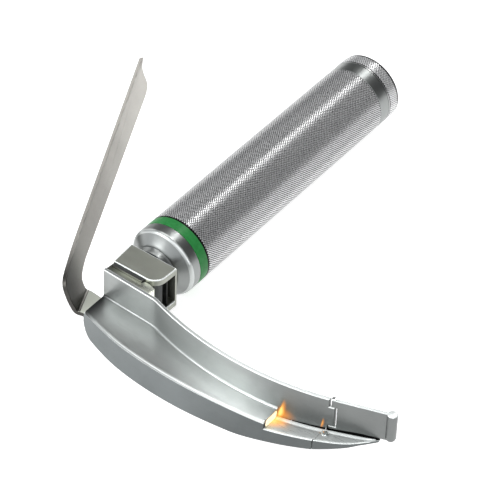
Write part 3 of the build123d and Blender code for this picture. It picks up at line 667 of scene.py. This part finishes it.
TUBE_BORE = 13.35
SPIGOT_R = 12.6
RING_BORE = 12.9
HEAD_BORE = 5.7
NECK_R = 8.0
BAND_START = TUBE_END - 5.4
tube_mesh = knurled(
    [(HANDLE_R - 0.2, RING_END + 0.35), (HANDLE_R - 0.35, RING_END), (TUBE_BORE, RING_END)],
    RING_END + 0.6,
    BAND_START,
    [
        (HANDLE_R - 0.14, BAND_START + 0.1),
        (HANDLE_R - 0.10, BAND_START + 0.3),
        (HANDLE_R - 0.10, TUBE_END - 0.1),
        (HANDLE_R - 0.25, TUBE_END),
        (TUBE_BORE, TUBE_END),
    ],
)
smooth_band = (turned_steel, lambda face: local(face.center).y > BAND_START)
piece(
    "knurled_tube",
    tube_mesh,
    "handle",
    knurl_steel,
    ["handle_tube"],
    16,
    [smooth_band],
)

cap_mesh = knurled(
    [
        (HANDLE_R - 0.2, CAP_START + 0.45),
        (HANDLE_R - 0.05, CAP_START + 0.35),
        (HANDLE_R - 0.05, CAP_START + 0.1),
        (HANDLE_R - 0.3, CAP_START),
        (SPIGOT_R, CAP_START),
        (SPIGOT_R, CAP_START - 4.2),
    ],
    CAP_START + 0.6,
    CAP_END - 1.0,
    [
        (HANDLE_R - 0.2, CAP_END - 0.8),
        (HANDLE_R - 0.15, CAP_END - 0.6),
        (HANDLE_R - 0.45, CAP_END - 0.25),
        (HANDLE_R - 0.9, CAP_END),
        (11.6, CAP_END),
        (11.2, CAP_END - 0.35),
    ],
)
flat_end = (turned_steel, lambda face: abs(face.normal.y) > 0.7)
piece("knurled_cap", cap_mesh, "base_cap", cap_steel, ["base_cap"], 16, [flat_end])

ring_mesh = turned(
    [
        (RING_BORE, 0),
        (HANDLE_R - 0.25, 0.02),
        (HANDLE_R - 0.06, 0.1),
        (HANDLE_R, 0.3),
        (HANDLE_R, RING_END - 0.3),
        (HANDLE_R - 0.06, RING_END - 0.1),
        (HANDLE_R - 0.25, RING_END - 0.02),
        (RING_BORE, RING_END),
    ]
)
piece("green_ring", ring_mesh, "handle", green_paint, ["marking_ring"])

KNUCKLE_R = 1.9
KNUCKLE_Y = -3.6
knuckle = [
    (HANDLE_R - KNUCKLE_R + KNUCKLE_R * cos(a), KNUCKLE_Y - KNUCKLE_R * sin(a))
    for a in [radians(62) * i / 9 for i in range(10)]
]
head_mesh = turned(
    [
        (HEAD_BORE, 0.0),
        (HANDLE_R - 0.3, -0.02),
        (HANDLE_R - 0.08, -0.1),
        (HANDLE_R, -0.3),
        *knuckle,
        (12.4, -5.85),
        (11.2, -6.75),
        (10.1, -7.65),
        (9.6, -8.1),
        (9.2, -8.15),
        (9.15, -8.6),
        (8.95, -8.9),
        (8.9, -10.4),
        (8.7, -10.7),
        (NECK_R, -10.8),
        (NECK_R, FORK_BACK),
        (HEAD_BORE, FORK_BACK),
    ]
)


def on_knuckle(face):
    return KNUCKLE_Y - 1.9 < local(face.center).y < KNUCKLE_Y - 0.2


# the knuckle's faces get the painted highlight
knuckle_painted_highlight = (knuckle_highlight_steel, on_knuckle)
piece(
    "turned_head",
    head_mesh,
    "handle",
    turned_steel,
    ["handle_head"],
    40,
    [knuckle_painted_highlight],
)

# ---------------- hook fork and its pin
FORK_EDGE = 0.38
BASE = 0.9
nose = arc(PIN_X, PIN_Y, NOSE_R, -90, 0, 12)
cheek = [
    (FORK_HEEL_X + 0.7, FORK_FRONT),
    *nose,
    (FORK_NOSE_X, FORK_BACK - 0.4),
    (FORK_NOSE_X - 0.3, FORK_BACK),
    (FORK_HEEL_X, FORK_BACK),
]
fork_mesh = joined(
    prism(cheek, FORK_LOW, FORK_LOW + CHEEK, flat, FORK_EDGE, 3),
    prism(cheek, FORK_HIGH - CHEEK, FORK_HIGH, flat, FORK_EDGE, 3),
    prism(
        [
            (FORK_HEEL_X, FORK_BACK - BASE),
            (FORK_NOSE_X + 0.02, FORK_BACK - BASE),
            (FORK_NOSE_X + 0.02, FORK_BACK),
            (FORK_HEEL_X, FORK_BACK),
        ],
        FORK_LOW + 0.4,
        FORK_HIGH - 0.4,
        flat,
        0.05,
    ),
)
piece("fork", fork_mesh, "handle", fork_steel, ["hook_fork"], accents=[edge_painted_highlight])

pin_mesh = pillar(
    PIN_X,
    PIN_Y,
    [
        (0, FORK_LOW - 0.02),
        (PIN_R - 0.2, FORK_LOW - 0.02),
        (PIN_R, FORK_LOW + 0.2),
        (PIN_R, FORK_HIGH - 1.4),
        (PIN_R - 0.2, FORK_HIGH - 1.2),
        (0, FORK_HIGH - 1.2),
    ],
)
piece("fork_pin", pin_mesh, "handle", pin_steel, ["hook_pin"])


# ---------------- blade
def spatula_y(x):
    """Posterior face of the spatula at station x."""
    if x <= KINK_X:
        return HEEL_Y + (KINK_Y - HEEL_Y) * (x - HEEL_X) / (KINK_X - HEEL_X)
    radius = REAR_RADIUS if x < LOW_X else FRONT_RADIUS
    return LOW_Y + radius - sqrt(radius**2 - (x - LOW_X) ** 2)


def slope_z(x):
    """Height of the distal web's right face at station x."""
    return SLOPE_Z + SLOPE_RISE * (x - EXIT_X)


def tip_y(x):
    """Posterior face of the straight tip at station x."""
    return spatula_y(TIP_BEND_X) + TIP_SLOPE * (x - TIP_BEND_X)


def blade_y(x):
    """Posterior face of the spatula and, past the hinge, of the tip."""
    return spatula_y(x) if x < HINGE_X else tip_y(x)


# outer face of the flange at (x, y of its top edge, y of its low edge), and of the tip's flange
FLANGE_EDGES = [
    (FLANGE_REAR, -38.6, -39.8),
    (12, -43.8, -46.6),
    (38, -45.4, -48.7),
    (64, -43.9, -46.2),
    (80, -41.6, -42.4),
    (CURVE_END, -37.8, -38.2),
]
TOP_CURVE = [(x, top) for x, top, low in FLANGE_EDGES]
LOW_CURVE = [(x, low) for x, top, low in FLANGE_EDGES]
TIP_CURVE = [(CURVE_END, -37.8), (100.4, -34.4), (105.3, -31.2), (TIP_FLANGE_END, -24.4)]
SLOT_START = 80.0
SLOT_LENGTH = 26.0


def gap(x):
    """The dark slot between the spatula's left edge and the distal web widens to the tip."""
    return 0.05 + max(0.0, min(1.0, (x - SLOT_START) / SLOT_LENGTH))


def left_edge(x):
    """Left edge of the spatula past the light exit, climbing with the web."""
    return min(slope_z(x) + gap(x), BEAD_LOW)


HINGE_EYE = 0.75
spatula_outline = [
    (HEEL_X, RIGHT_EDGE),
    (HEEL_X, COVER_TOP - 1.5),
    (EXIT_X - 0.2, COVER_TOP - 1.5),
    (EXIT_X - 0.2, SLOPE_Z - 0.3),
    (SLOT_START, slope_z(SLOT_START) - 0.3),
    *[(x, left_edge(x)) for x in spaced(SLOT_START + 0.5, NOTCH_X, 6)],
    (NOTCH_X, TONGUE_LOW),
    (HINGE_X + HINGE_EYE, TONGUE_LOW),
    (HINGE_X + HINGE_EYE, TONGUE_HIGH),
    (NOTCH_X, TONGUE_HIGH),
    (NOTCH_X, RIGHT_EDGE),
]
spatula_stations = [0.0, 8.0, *spaced(KINK_X - 2.5, NOTCH_X - 0.5, 40)]
spatula_mesh = bent_plate(
    spatula_outline, SHEET, spatula_stations, lambda x, z, w: Vector((x, spatula_y(x) + w, z))
)
piece(
    "curved_spatula",
    spatula_mesh,
    "blade",
    blade_steel,
    ["spatula"],
    accents=[lit_front, rim_painted_highlight, edge_painted_highlight],
)

# the heel: a block that drops into the fork, and a coved ledge along the spatula's right edge
BLOCK_HIGH = 2 * AXIS_Z - BLOCK_LOW
HOOK_R = 4.7
block_outline = rounded(
    [
        (HEEL_X + 0.9, LEDGE_Y - 1.5),
        (PIN_X - 0.5, LEDGE_Y - 1.5),
        (PIN_X - 0.5, BLOCK_FACE),
        (HEEL_X + 0.9, BLOCK_FACE),
    ],
    0.4,
)
MOUTH = 16.0
LEDGE_BEND = 8.6
LEDGE_END = 11.9
LEDGE_FALL = 0.55
hook_outline = [
    *arc(PIN_X, PIN_Y, HOOK_R, -140, -MOUTH, 14),
    *arc(PIN_X, PIN_Y, PIN_R + 0.06, -40, -320, 18),
    *arc(PIN_X, PIN_Y, HOOK_R, MOUTH, 140, 14),
]


def ledge_section(x):
    """The cove behind the spatula's right edge, from its rim down to the fork."""
    front = spatula_y(min(x, LEDGE_END + 0.3)) + SHEET - 0.4
    back = LEDGE_Y - 1.1 * max(0.0, (x - LEDGE_BEND) / (LEDGE_END - LEDGE_BEND))
    curve = []
    for t in spaced(0, 1, 6):
        z = RIGHT_EDGE - LEDGE_FALL * (2 * t - t * t)
        curve.append((front + (back - front) * t, z))
    return [*curve, (back, COVER_TOP - 1.0), (front, COVER_TOP - 1.0)][::-1]


block_mesh = joined(
    prism(block_outline, BLOCK_LOW, BLOCK_HIGH, flat, 0.25),
    prism(hook_outline, BLOCK_LOW, BLOCK_HIGH, flat, 0.05),
)
# the block's front faces get the darker painted shade
block_front_painted_shade = (insert_painted_shade_steel, lambda face: local(face.center).y < LEDGE_Y + 1.5)
piece(
    "heel_insert",
    block_mesh,
    "blade",
    block_painted_shade_steel,
    ["heel_block"],
    accents=[block_front_painted_shade],
)
ledge_mesh = along([HEEL_X + 0.05, *spaced(-6, LEDGE_END - 0.1, 16)], ledge_section, 0.3, 3)
piece("heel_ledge", ledge_mesh, "blade", ledge_steel, ["heel_block"])


# ---------------- flange, housing and webs
def flange_bottom(x):
    """Low edge of the flange: round at the heel, level, then rising towards the tip."""
    if x < FLANGE_REAR + HEEL_ROUND:
        reach = FLANGE_REAR + HEEL_ROUND - x
        return HEEL_ROUND - sqrt(max(HEEL_ROUND**2 - reach**2, 0.0))
    if x > RUN_OUT_X:
        t = (x - RUN_OUT_X) / (CURVE_END - RUN_OUT_X)
        return RUN_OUT_Z * (0.55 * t + 0.45 * t * t)
    return 0.0


def flange_face(x, z):
    """Outer face of the flange: it leans between the low and the top curve."""
    lean = z / COVER_TOP
    return through(LOW_CURVE, x) * (1 - lean) + through(TOP_CURVE, x) * lean


def outer_y(x, z):
    """Outer face of the flange and, past the slit, of the tip's flange."""
    return flange_face(x, z) if x < SLIT_X else through(TIP_CURVE, x)


RIM_PROUD = 0.45
CORNER_R = 1.0


def flange_section(x):
    """The flange's sheet, from its low edge up to the housing or the distal web."""
    low = flange_bottom(x)
    if x <= EXIT_X:
        high, edge = COVER_TOP - CORNER_R - 0.05, 0.1
    else:
        high, edge = slope_z(x) + RIM_PROUD, 0.6
    outer_low, outer_high = flange_face(x, low), flange_face(x, high)
    return rounded(
        [
            (outer_low, low, 0.4),
            (outer_low + FLANGE_SHEET, low, 0.4),
            (outer_high + FLANGE_SHEET, high, edge),
            (outer_high, high, edge),
        ],
        0.4,
    )


flange_stations = [FLANGE_REAR, *spaced(FLANGE_REAR + 0.6, FLANGE_REAR + HEEL_ROUND, 5)]
flange_stations += [*spaced(0, EXIT_X, 26), EXIT_X + 0.06, *spaced(EXIT_X + 1, SLIT_X, 8)]
flange_mesh = along(flange_stations, flange_section, 0.12)
piece(
    "side_flange",
    flange_mesh,
    "blade",
    flange_steel,
    ["flange"],
    accents=[top_painted_sheen],
)

FILLET_R = 0.9
SKIN = 0.8


def housing_section(x):
    """The light-guide housing: a fillet against the spatula and a round outer corner."""
    inner, outer = spatula_y(x) + 0.3, flange_face(x, COVER_TOP - CORNER_R)
    top = COVER_TOP
    cove = arc(inner - 0.3 - FILLET_R, top + FILLET_R, FILLET_R, 0, -90, 5)
    corner = arc(outer + CORNER_R, top - CORNER_R, CORNER_R, 90, 180, 5)
    path = [(inner, top + FILLET_R), *cove, *corner]
    back = [(outer + 0.1, top - SKIN - 1.2), (outer + CORNER_R, top - SKIN), (inner, top - SKIN)]
    return path + back


def end_wall(stations, low, reach):
    """A wall closing the housing's end down to low, as wide as the flange is at reach."""

    def section(x):
        inner = spatula_y(x) + 0.2
        return [
            (inner, COVER_TOP - 0.2),
            (flange_face(x, COVER_TOP) + 0.6, COVER_TOP - 0.2),
            (flange_face(x, reach) + 0.6, low),
            (inner, low),
        ]

    return along(stations, section, 0.1)


HEEL_WALL_Z = 4.6
housing_stations = [HEEL_X + 0.02, *spaced(HEEL_X + 1, EXIT_X - 1, 34), EXIT_X]
housing_mesh = joined(
    along(housing_stations, housing_section, 0.2),
    end_wall([EXIT_X - 0.8, EXIT_X - 0.4, EXIT_X], SLOPE_Z - 0.8, SLOPE_Z),
    end_wall([HEEL_X + 0.02, HEEL_X + 0.4, HEEL_X + 0.8], HEEL_WALL_Z, HEEL_WALL_Z),
)
piece("guide_housing", housing_mesh, "blade", cover_steel, ["guide_cover"])

WEB = 1.0
INNER_WEB_LOW, INNER_WEB_HIGH = 4.4, 5.3


def web_section(x):
    """A shallow trough: a rounded rim beside the slot, and a floor that meets the flange."""
    top = slope_z(x)
    inner = blade_y(x) - 0.05 - 0.4 * gap(x)
    outer = outer_y(x, top) + 0.5
    rim = min(1.2, (inner - outer) * 0.3)
    roll = (inner - outer) * 0.62
    return rounded(
        [
            (inner, top + 0.2, 0.3),
            (inner - rim * 0.6, top + 0.2, 0.3),
            (inner - rim * 1.2, top - 0.15, 0.4),
            (outer + roll, top + 0.05, 0.8),
            (outer + roll * 0.3, top - 0.15, 0.8),
            (outer, top - 0.55, 0.3),
            (outer, top - WEB, 0.2),
            (inner, top - WEB, 0.2),
        ],
        0.3,
        4,
    )


def slot_shadow_section(x):
    """A near-black strip of painted shadow at the back of the slot, behind the spatula's left edge.
    """
    face = blade_y(x)
    low, high = slope_z(x) - WEB, left_edge(x) + 0.4
    return [
        (face - 0.5, low),
        (face + 0.9, low),
        (face + 0.9, high),
        (face + 0.5, high),
        (face + 0.5, low + 0.2),
        (face - 0.5, low + 0.2),
    ]


def inner_web_section(x):
    """The web inside the housing, under the light guide."""
    inner = spatula_y(x) + 0.2
    corners = [(flange_face(x, z) + 0.5, z) for z in (INNER_WEB_HIGH, INNER_WEB_LOW)]
    return [(inner, INNER_WEB_HIGH), *corners, (inner, INNER_WEB_LOW)]


def in_trough(face):
    """Faces of the web between its bright rim and the flange; they get a darker copy of its finish,
    painted shade.
    """
    at = local(face.center)
    return looks_up(face) and outer_y(at.x, at.z) + 1.3 < at.y < blade_y(at.x) - 1.8


trough = (trough_shaded_sheen_steel, in_trough)
web_mesh = joined(
    along([EXIT_X - 0.6, *spaced(EXIT_X + 1, SLIT_X, 9)], web_section, 0.15),
    along([HEEL_X + 0.1, *spaced(HEEL_X + 2, EXIT_X, 20)], inner_web_section, 0.1),
)
piece("distal_web", web_mesh, "blade", painted_sheen_steel, ["web"], accents=[trough])

slot_shadow_mesh = along(spaced(SLOT_START + 0.2, SLIT_X, 8), slot_shadow_section, 0.05)
piece("blade_slot_shadow", slot_shadow_mesh, "blade", shadow_steel)


# ---------------- flexing tip
TIP_FLANGE_DEPTH = 0.9
TIP_FLANGE_SHEET = 1.05


def tip_bottom(x):
    """Low edge of the tip's flange, climbing to the web."""
    t = min(1.0, (x - SLIT_X) / (TIP_FLANGE_RISE - SLIT_X))
    climb = (slope_z(TIP_FLANGE_RISE) - TIP_FLANGE_DEPTH - RUN_OUT_Z) * t
    return min(RUN_OUT_Z + climb, slope_z(x) - TIP_FLANGE_DEPTH)


def tip_flange_section(x):
    """The tip's flange, thinning out past its rise."""
    narrow = max(0.0, (x - TIP_FLANGE_RISE) / (TIP_FLANGE_END - TIP_FLANGE_RISE))
    low, high = tip_bottom(x) + 0.5 * narrow, slope_z(x) + RIM_PROUD * (1 - narrow)
    outer = through(TIP_CURVE, x)
    inner = outer + TIP_FLANGE_SHEET - 0.5 * narrow
    lean = 0.05 * (high - low)
    return rounded([(outer - lean, low), (inner - lean, low), (inner, high), (outer, high)], 0.4)


tip_stations = [SLIT_X + SLIT, *spaced(SLIT_X + 1.5, TIP_FLANGE_END - 0.2, 18)]
tip_web_stations = [SLIT_X + 0.1, *spaced(SLIT_X + 1.5, TIP_FLANGE_END - 1.2, 14)]
tip_flange_mesh = joined(
    along(tip_stations, tip_flange_section, 0.12), along(tip_web_stations, web_section, 0.05)
)
piece(
    "tip_side_flange",
    tip_flange_mesh,
    "tip",
    flange_steel,
    ["tip_flange"],
    accents=[top_painted_sheen, trough],
)

# painted shadow at the back of the tip's slot
tip_slot_shadow_mesh = along(spaced(SLIT_X + SLIT, TIP_FLANGE_END - 0.5, 8), slot_shadow_section, 0.05)
piece("tip_slot_shadow", tip_slot_shadow_mesh, "tip", shadow_steel)

TIP_SHEET = 1.4


def tip_place(x, z, w):
    """The tip's plate follows the spatula's curve to the bend and is straight past it."""
    y = tip_y(x) if x > TIP_BEND_X else spatula_y(x)
    return Vector((x, y + w, z))


SLOT_X = HINGE_X + 1.5
NOTCH_WIDTH = 0.85
PLAY = 0.22
tip_outline = [
    (BEAD_X, RIGHT_EDGE),
    (NOTCH_X + NOTCH_WIDTH, RIGHT_EDGE),
    (NOTCH_X + NOTCH_WIDTH, TONGUE_HIGH + PLAY),
    (SLOT_X, TONGUE_HIGH + PLAY),
    (SLOT_X, TONGUE_LOW - PLAY),
    (NOTCH_X + PLAY, TONGUE_LOW - PLAY),
    (NOTCH_X + PLAY, left_edge(NOTCH_X)),
    *[(x, left_edge(x)) for x in spaced(TIP_BEND_X, BEAD_X, 8)],
]
tip_mesh = joined(
    bent_plate(tip_outline, TIP_SHEET, spaced(94, BEAD_X - 1, 10), tip_place, 0.25),
    pillar(
        BEAD_X,
        BEAD_Y,
        [
            (0, BEAD_LOW),
            (BEAD_R * 0.45, BEAD_LOW + 0.08),
            (BEAD_R * 0.8, BEAD_LOW + 0.6),
            (BEAD_R, BEAD_LOW + 1.5),
            (BEAD_R, RIGHT_EDGE - 0.3),
            (BEAD_R - 0.1, RIGHT_EDGE - 0.08),
            (BEAD_R - 0.35, RIGHT_EDGE + 0.04),
            (0, RIGHT_EDGE + 0.12),
        ],
    ),
)
piece(
    "tip_plate", tip_mesh, "tip", blade_steel, ["tip_spatula"], accents=[top_painted_sheen]
)

HINGE_R = 0.5
hinge_low, hinge_high = low_of("tip_hinge_pin").z, high_of("tip_hinge_pin").z
hinge_mesh = pillar(
    HINGE_X,
    HINGE_Y,
    [
        (0, hinge_low),
        (HINGE_R, hinge_low),
        (HINGE_R, RIGHT_EDGE + 0.03),
        (0.9, RIGHT_EDGE + 0.03),
        (0.95, RIGHT_EDGE + 0.15),
        (0.8, hinge_high - 0.1),
        (0.45, hinge_high),
        (0, hinge_high),
    ],
)
piece("hinge_pin", hinge_mesh, "blade", pin_steel, ["tip_hinge_pin"])

RIVET_R = 0.79
rivet_low, rivet_top = low_of("link_rivet").z, high_of("link_rivet").z
rivet_mesh = pillar(
    LINK_X,
    LINK_Y,
    [
        (0, rivet_low),
        (RIVET_R, rivet_low),
        (RIVET_R, rivet_top - 0.6),
        (1.25, rivet_top - 0.58),
        (1.3, rivet_top - 0.4),
        (1.1, rivet_top - 0.15),
        (0.65, rivet_top - 0.02),
        (0, rivet_top),
    ],
)
piece("rivet", rivet_mesh, "tip", pin_steel, ["link_rivet"])

# ---------------- light exit
exit_low, exit_high = low_of("light_exit"), high_of("light_exit")
exit_outline = rounded(
    [
        (exit_low.y - 1.2, exit_low.z),
        (exit_high.y + 0.6, exit_low.z),
        (exit_high.y + 1.3, exit_high.z + 0.2),
        (exit_low.y - 0.4, exit_high.z + 0.2),
    ],
    1.1,
    5,
)
exit_mesh = prism(exit_outline, EXIT_X - 0.6, EXIT_X + 0.12, lambda y, z, x: Vector((x, y, z)), 0.1)
piece("light_exit_face", exit_mesh, "blade", fibre_glow, ["light_exit"])

# ---------------- thumb lever, one folded plate
LEVER_SHEET = 1.8
LEVER_TOP = 3.0
FOLD_X, FOLD_Y = -15.3, -35.3
SPLAY, TILT = radians(23.45), radians(25.3)
TAB = 12.3
BEND_R = 1.5
BEND = pi / 2 - TILT
REACH = BEND_R * sin(BEND / 2) / cos(BEND / 2)
ACROSS = Vector((cos(SPLAY), sin(SPLAY), 0))
ALONG_LEVER = Vector((-sin(SPLAY), cos(SPLAY), 0))
UP_FACE = Vector((-sin(TILT) * cos(SPLAY), -sin(TILT) * sin(SPLAY), cos(TILT)))
FACE_NORMAL = Vector((cos(TILT) * cos(SPLAY), cos(TILT) * sin(SPLAY), sin(TILT)))
FOLD = Vector((FOLD_X, FOLD_Y, LEVER_TOP))
PIVOT_X, PIVOT_Y = middle_of("lever_pivot")
CRANK_X, CRANK_Y = middle_of("crank_pin")


def unfolded(x, y):
    """A point of the root plate as (along the fold, away from the fold)."""
    offset = Vector((x - FOLD_X, y - FOLD_Y, 0))
    return offset.dot(ALONG_LEVER), -offset.dot(ACROSS)


def folded(a, s, w):
    """Bends the unfolded plate: a along the fold, s across it, w below the inner face."""
    if s < -REACH:
        return FOLD + ALONG_LEVER * a - ACROSS * s - Vector((0, 0, w))
    if s > REACH:
        return FOLD + ALONG_LEVER * a + UP_FACE * s - FACE_NORMAL * w
    turn = BEND * (s + REACH) / (2 * REACH)
    centre = FOLD + ALONG_LEVER * a + ACROSS * REACH + Vector((0, 0, BEND_R))
    outward = -ACROSS * sin(turn) - Vector((0, 0, cos(turn)))
    return centre + outward * (BEND_R + w)


def lever_outline():
    """The lever unfolded flat, counterclockwise: root plate, fold, long blade and curled toe."""
    root = [
        unfolded(-9.5, FOLD_Y),
        *[unfolded(x, y) for x, y in arc(PIVOT_X, PIVOT_Y, 2.8, -110, 10, 8)],
        *[unfolded(x, y) for x, y in arc(CRANK_X, CRANK_Y, 2.2, 0, 110, 7)],
        unfolded(-12.5, FOLD_Y + TAB * cos(SPLAY)),
    ]
    face = [
        (TAB + 0.3, 4.8, 3.0),
        (20.0, 6.9, 4.0),
        (115.6, 11.8, 3.0),
        (120.0, 13.2, 3.0),
        (120.7, 19.6, 3.0),
        (125.7, 21.4, 0.2),
        (125.9, 22.0, 0.3),
        (20.7, 15.0, 6.0),
        (2.2, 12.6, 6.0),
        (0, 5.0, 2.0),
    ]
    return rounded([(0, -REACH - 1.0, 1.0), *root, (TAB, -REACH - 0.5, 1.0), *face], 0.3, 4)


lever_mesh = bent_plate(
    lever_outline(), LEVER_SHEET, spaced(-REACH, REACH, 10), folded, across=(0, 1, 0)
)


def on_root(face):
    return face.normal.z > 0.8 and local(face.center).x > FOLD_X


# upward faces of the root plate get the painted light
root_top_painted_light = (root_top_light_steel, on_root)
piece(
    "folded_lever",
    lever_mesh,
    "lever",
    lever_steel,
    ["thumb_lever"],
    30,
    [root_top_painted_light],
)

# ---------------- lamp spring, squeezed by the lamp
COIL_R, WIRE_R = 4.1, 0.35
COIL_START, COIL_END = 2.6, 11.5
TURNS, TURN_STEPS, WIRE_SIDES = 5, 24, 8
AXIAL = Vector((0, 1, 0))
coil = []
for i in range(TURNS * TURN_STEPS + 1):
    angle = 2 * pi * i / TURN_STEPS
    outward = Vector((cos(angle), 0, sin(angle)))
    along_y = COIL_START + (COIL_END - COIL_START) * i / (TURNS * TURN_STEPS)
    middle = Vector((0, along_y, AXIS_Z)) + COIL_R * outward
    sides = [2 * pi * k / WIRE_SIDES for k in range(WIRE_SIDES)]
    coil.append([middle + WIRE_R * (cos(b) * outward + sin(b) * AXIAL) for b in sides])
spring = piece("lamp_coil", loft(coil), "handle", spring_steel, ["lamp_spring"], 60)
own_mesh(spring)

# ---------------- CAD nodes that stay in sight
finishes = (
    (cell_wrap, ("c_cell_1", "c_cell_2")),
    (black_plastic, ("lamp_bush", "lamp_base")),
    (contact_brass, ("head_contact", "lamp_sleeve")),
    (black_rubber, ("cap_seal",)),
    (glass, ("lamp_bulb", "fibre_bundle")),
    (spring_steel, ("cap_spring", "detent_spring", "lever_spring")),
    (pin_steel, ("detent_ball_left", "detent_ball_right", "light_ferrule")),
    (pin_steel, ("lever_pivot", "crank_pin")),
    (lever_steel, ("push_rod",)),
)
for material, nodes in finishes:
    for node in nodes:
        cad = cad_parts[node]
        cad.data.materials.clear()
        cad.data.materials.append(material)

# ---------------- floor, light and camera
FLOOR = 3.0
floor_data = bpy.data.meshes.new("floor")
floor_corners = [(-FLOOR, -FLOOR, 0), (FLOOR, -FLOOR, 0), (FLOOR, FLOOR, 0), (-FLOOR, FLOOR, 0)]
floor_data.from_pydata(floor_corners, [], [(0, 1, 2, 3)])
floor_paper = Nodes("floor_paper")
floor_paper.shader.inputs["Roughness"].default_value = 0.9
floor_paper.shader.inputs["Specular IOR Level"].default_value = 0.1
floor_paper.shader.inputs["Emission Color"].default_value = (1, 1, 1, 1)
floor_paper.shader.inputs["Emission Strength"].default_value = 0.8
floor_paper.colour(
    floor_paper.ramp(floor_paper.noise(40), [(0.3, grey(0.58, NEUTRAL)), (0.7, grey(0.60, NEUTRAL))])
)
floor_data.materials.append(floor_paper.material)
floor = bpy.data.objects.new("floor", floor_data)
bpy.context.scene.collection.objects.link(floor)


def softbox(name, towards, distance, width, height, power):
    """An area light in a direction from the object, facing it."""
    data = bpy.data.lights.new(name, "AREA")
    data.shape = "RECTANGLE"
    data.size, data.size_y = width, height
    data.energy = power
    lamp = bpy.data.objects.new(name, data)
    bpy.context.scene.collection.objects.link(lamp)
    direction = Vector(towards).normalized()
    lamp.location = direction * distance
    lamp.rotation_euler = (-direction).to_track_quat("-Z", "Y").to_euler()


softbox("top_strip", (-0.08, 0.60, 0.79), 1.1, 0.16, 1.5, 6.0)
softbox("overhead", (-0.42, 0.12, 0.90), 1.1, 0.45, 0.45, 1.6)
softbox("front_left", (-0.45, -0.68, 0.60), 1.2, 0.6, 0.5, 5.0)
softbox("behind_camera", (0.55, -0.75, 0.95), 1.5, 1.2, 0.9, 3.5)
softbox("left_wall", (-0.95, 0.25, 0.35), 1.2, 0.5, 0.5, 1.2)
softbox("right_wall", (0.92, -0.38, 0.26), 1.2, 0.5, 0.35, 1.2)

# the room: bright on the camera's side, towards -Y, and dim on the other
world = bpy.data.worlds.new("studio")
world.use_nodes = True
bpy.context.scene.world = world
background = world.node_tree.nodes["Background"]
background.inputs["Color"].default_value = (0.95, 0.97, 1.0, 1)
sky = world.node_tree.nodes.new("ShaderNodeTexCoord")
split = world.node_tree.nodes.new("ShaderNodeSeparateXYZ")
fade = world.node_tree.nodes.new("ShaderNodeMapRange")
fade_range = {"From Min": 0.15, "From Max": -0.45, "To Min": 0.10, "To Max": 1.0}
for socket, value in fade_range.items():
    fade.inputs[socket].default_value = value
world.node_tree.links.new(sky.outputs["Generated"], split.inputs["Vector"])
world.node_tree.links.new(split.outputs["Y"], fade.inputs["Value"])
world.node_tree.links.new(fade.outputs["Result"], background.inputs["Strength"])

CAMERA_AT = placed(457.4, -591.3, 708.1)
CAMERA_FORWARD = Vector((-0.4266, 0.5984, -0.6781)).normalized()
CAMERA_UP = Vector((-0.426, 0.5284, 0.7344))
camera_data = bpy.data.cameras.new("camera")
camera_data.sensor_width = 36.0
camera_data.lens = 199.4
camera_data.clip_start, camera_data.clip_end = 0.05, 20
camera = bpy.data.objects.new("camera", camera_data)
bpy.context.scene.collection.objects.link(camera)
right = CAMERA_FORWARD.cross(CAMERA_UP).normalized()
up = right.cross(CAMERA_FORWARD)
turn = Matrix((right, up, -CAMERA_FORWARD)).transposed().to_4x4()
camera.matrix_world = Matrix.Translation(CAMERA_AT) @ turn
bpy.context.scene.camera = camera
bpy.context.scene.view_settings.view_transform = "Standard"
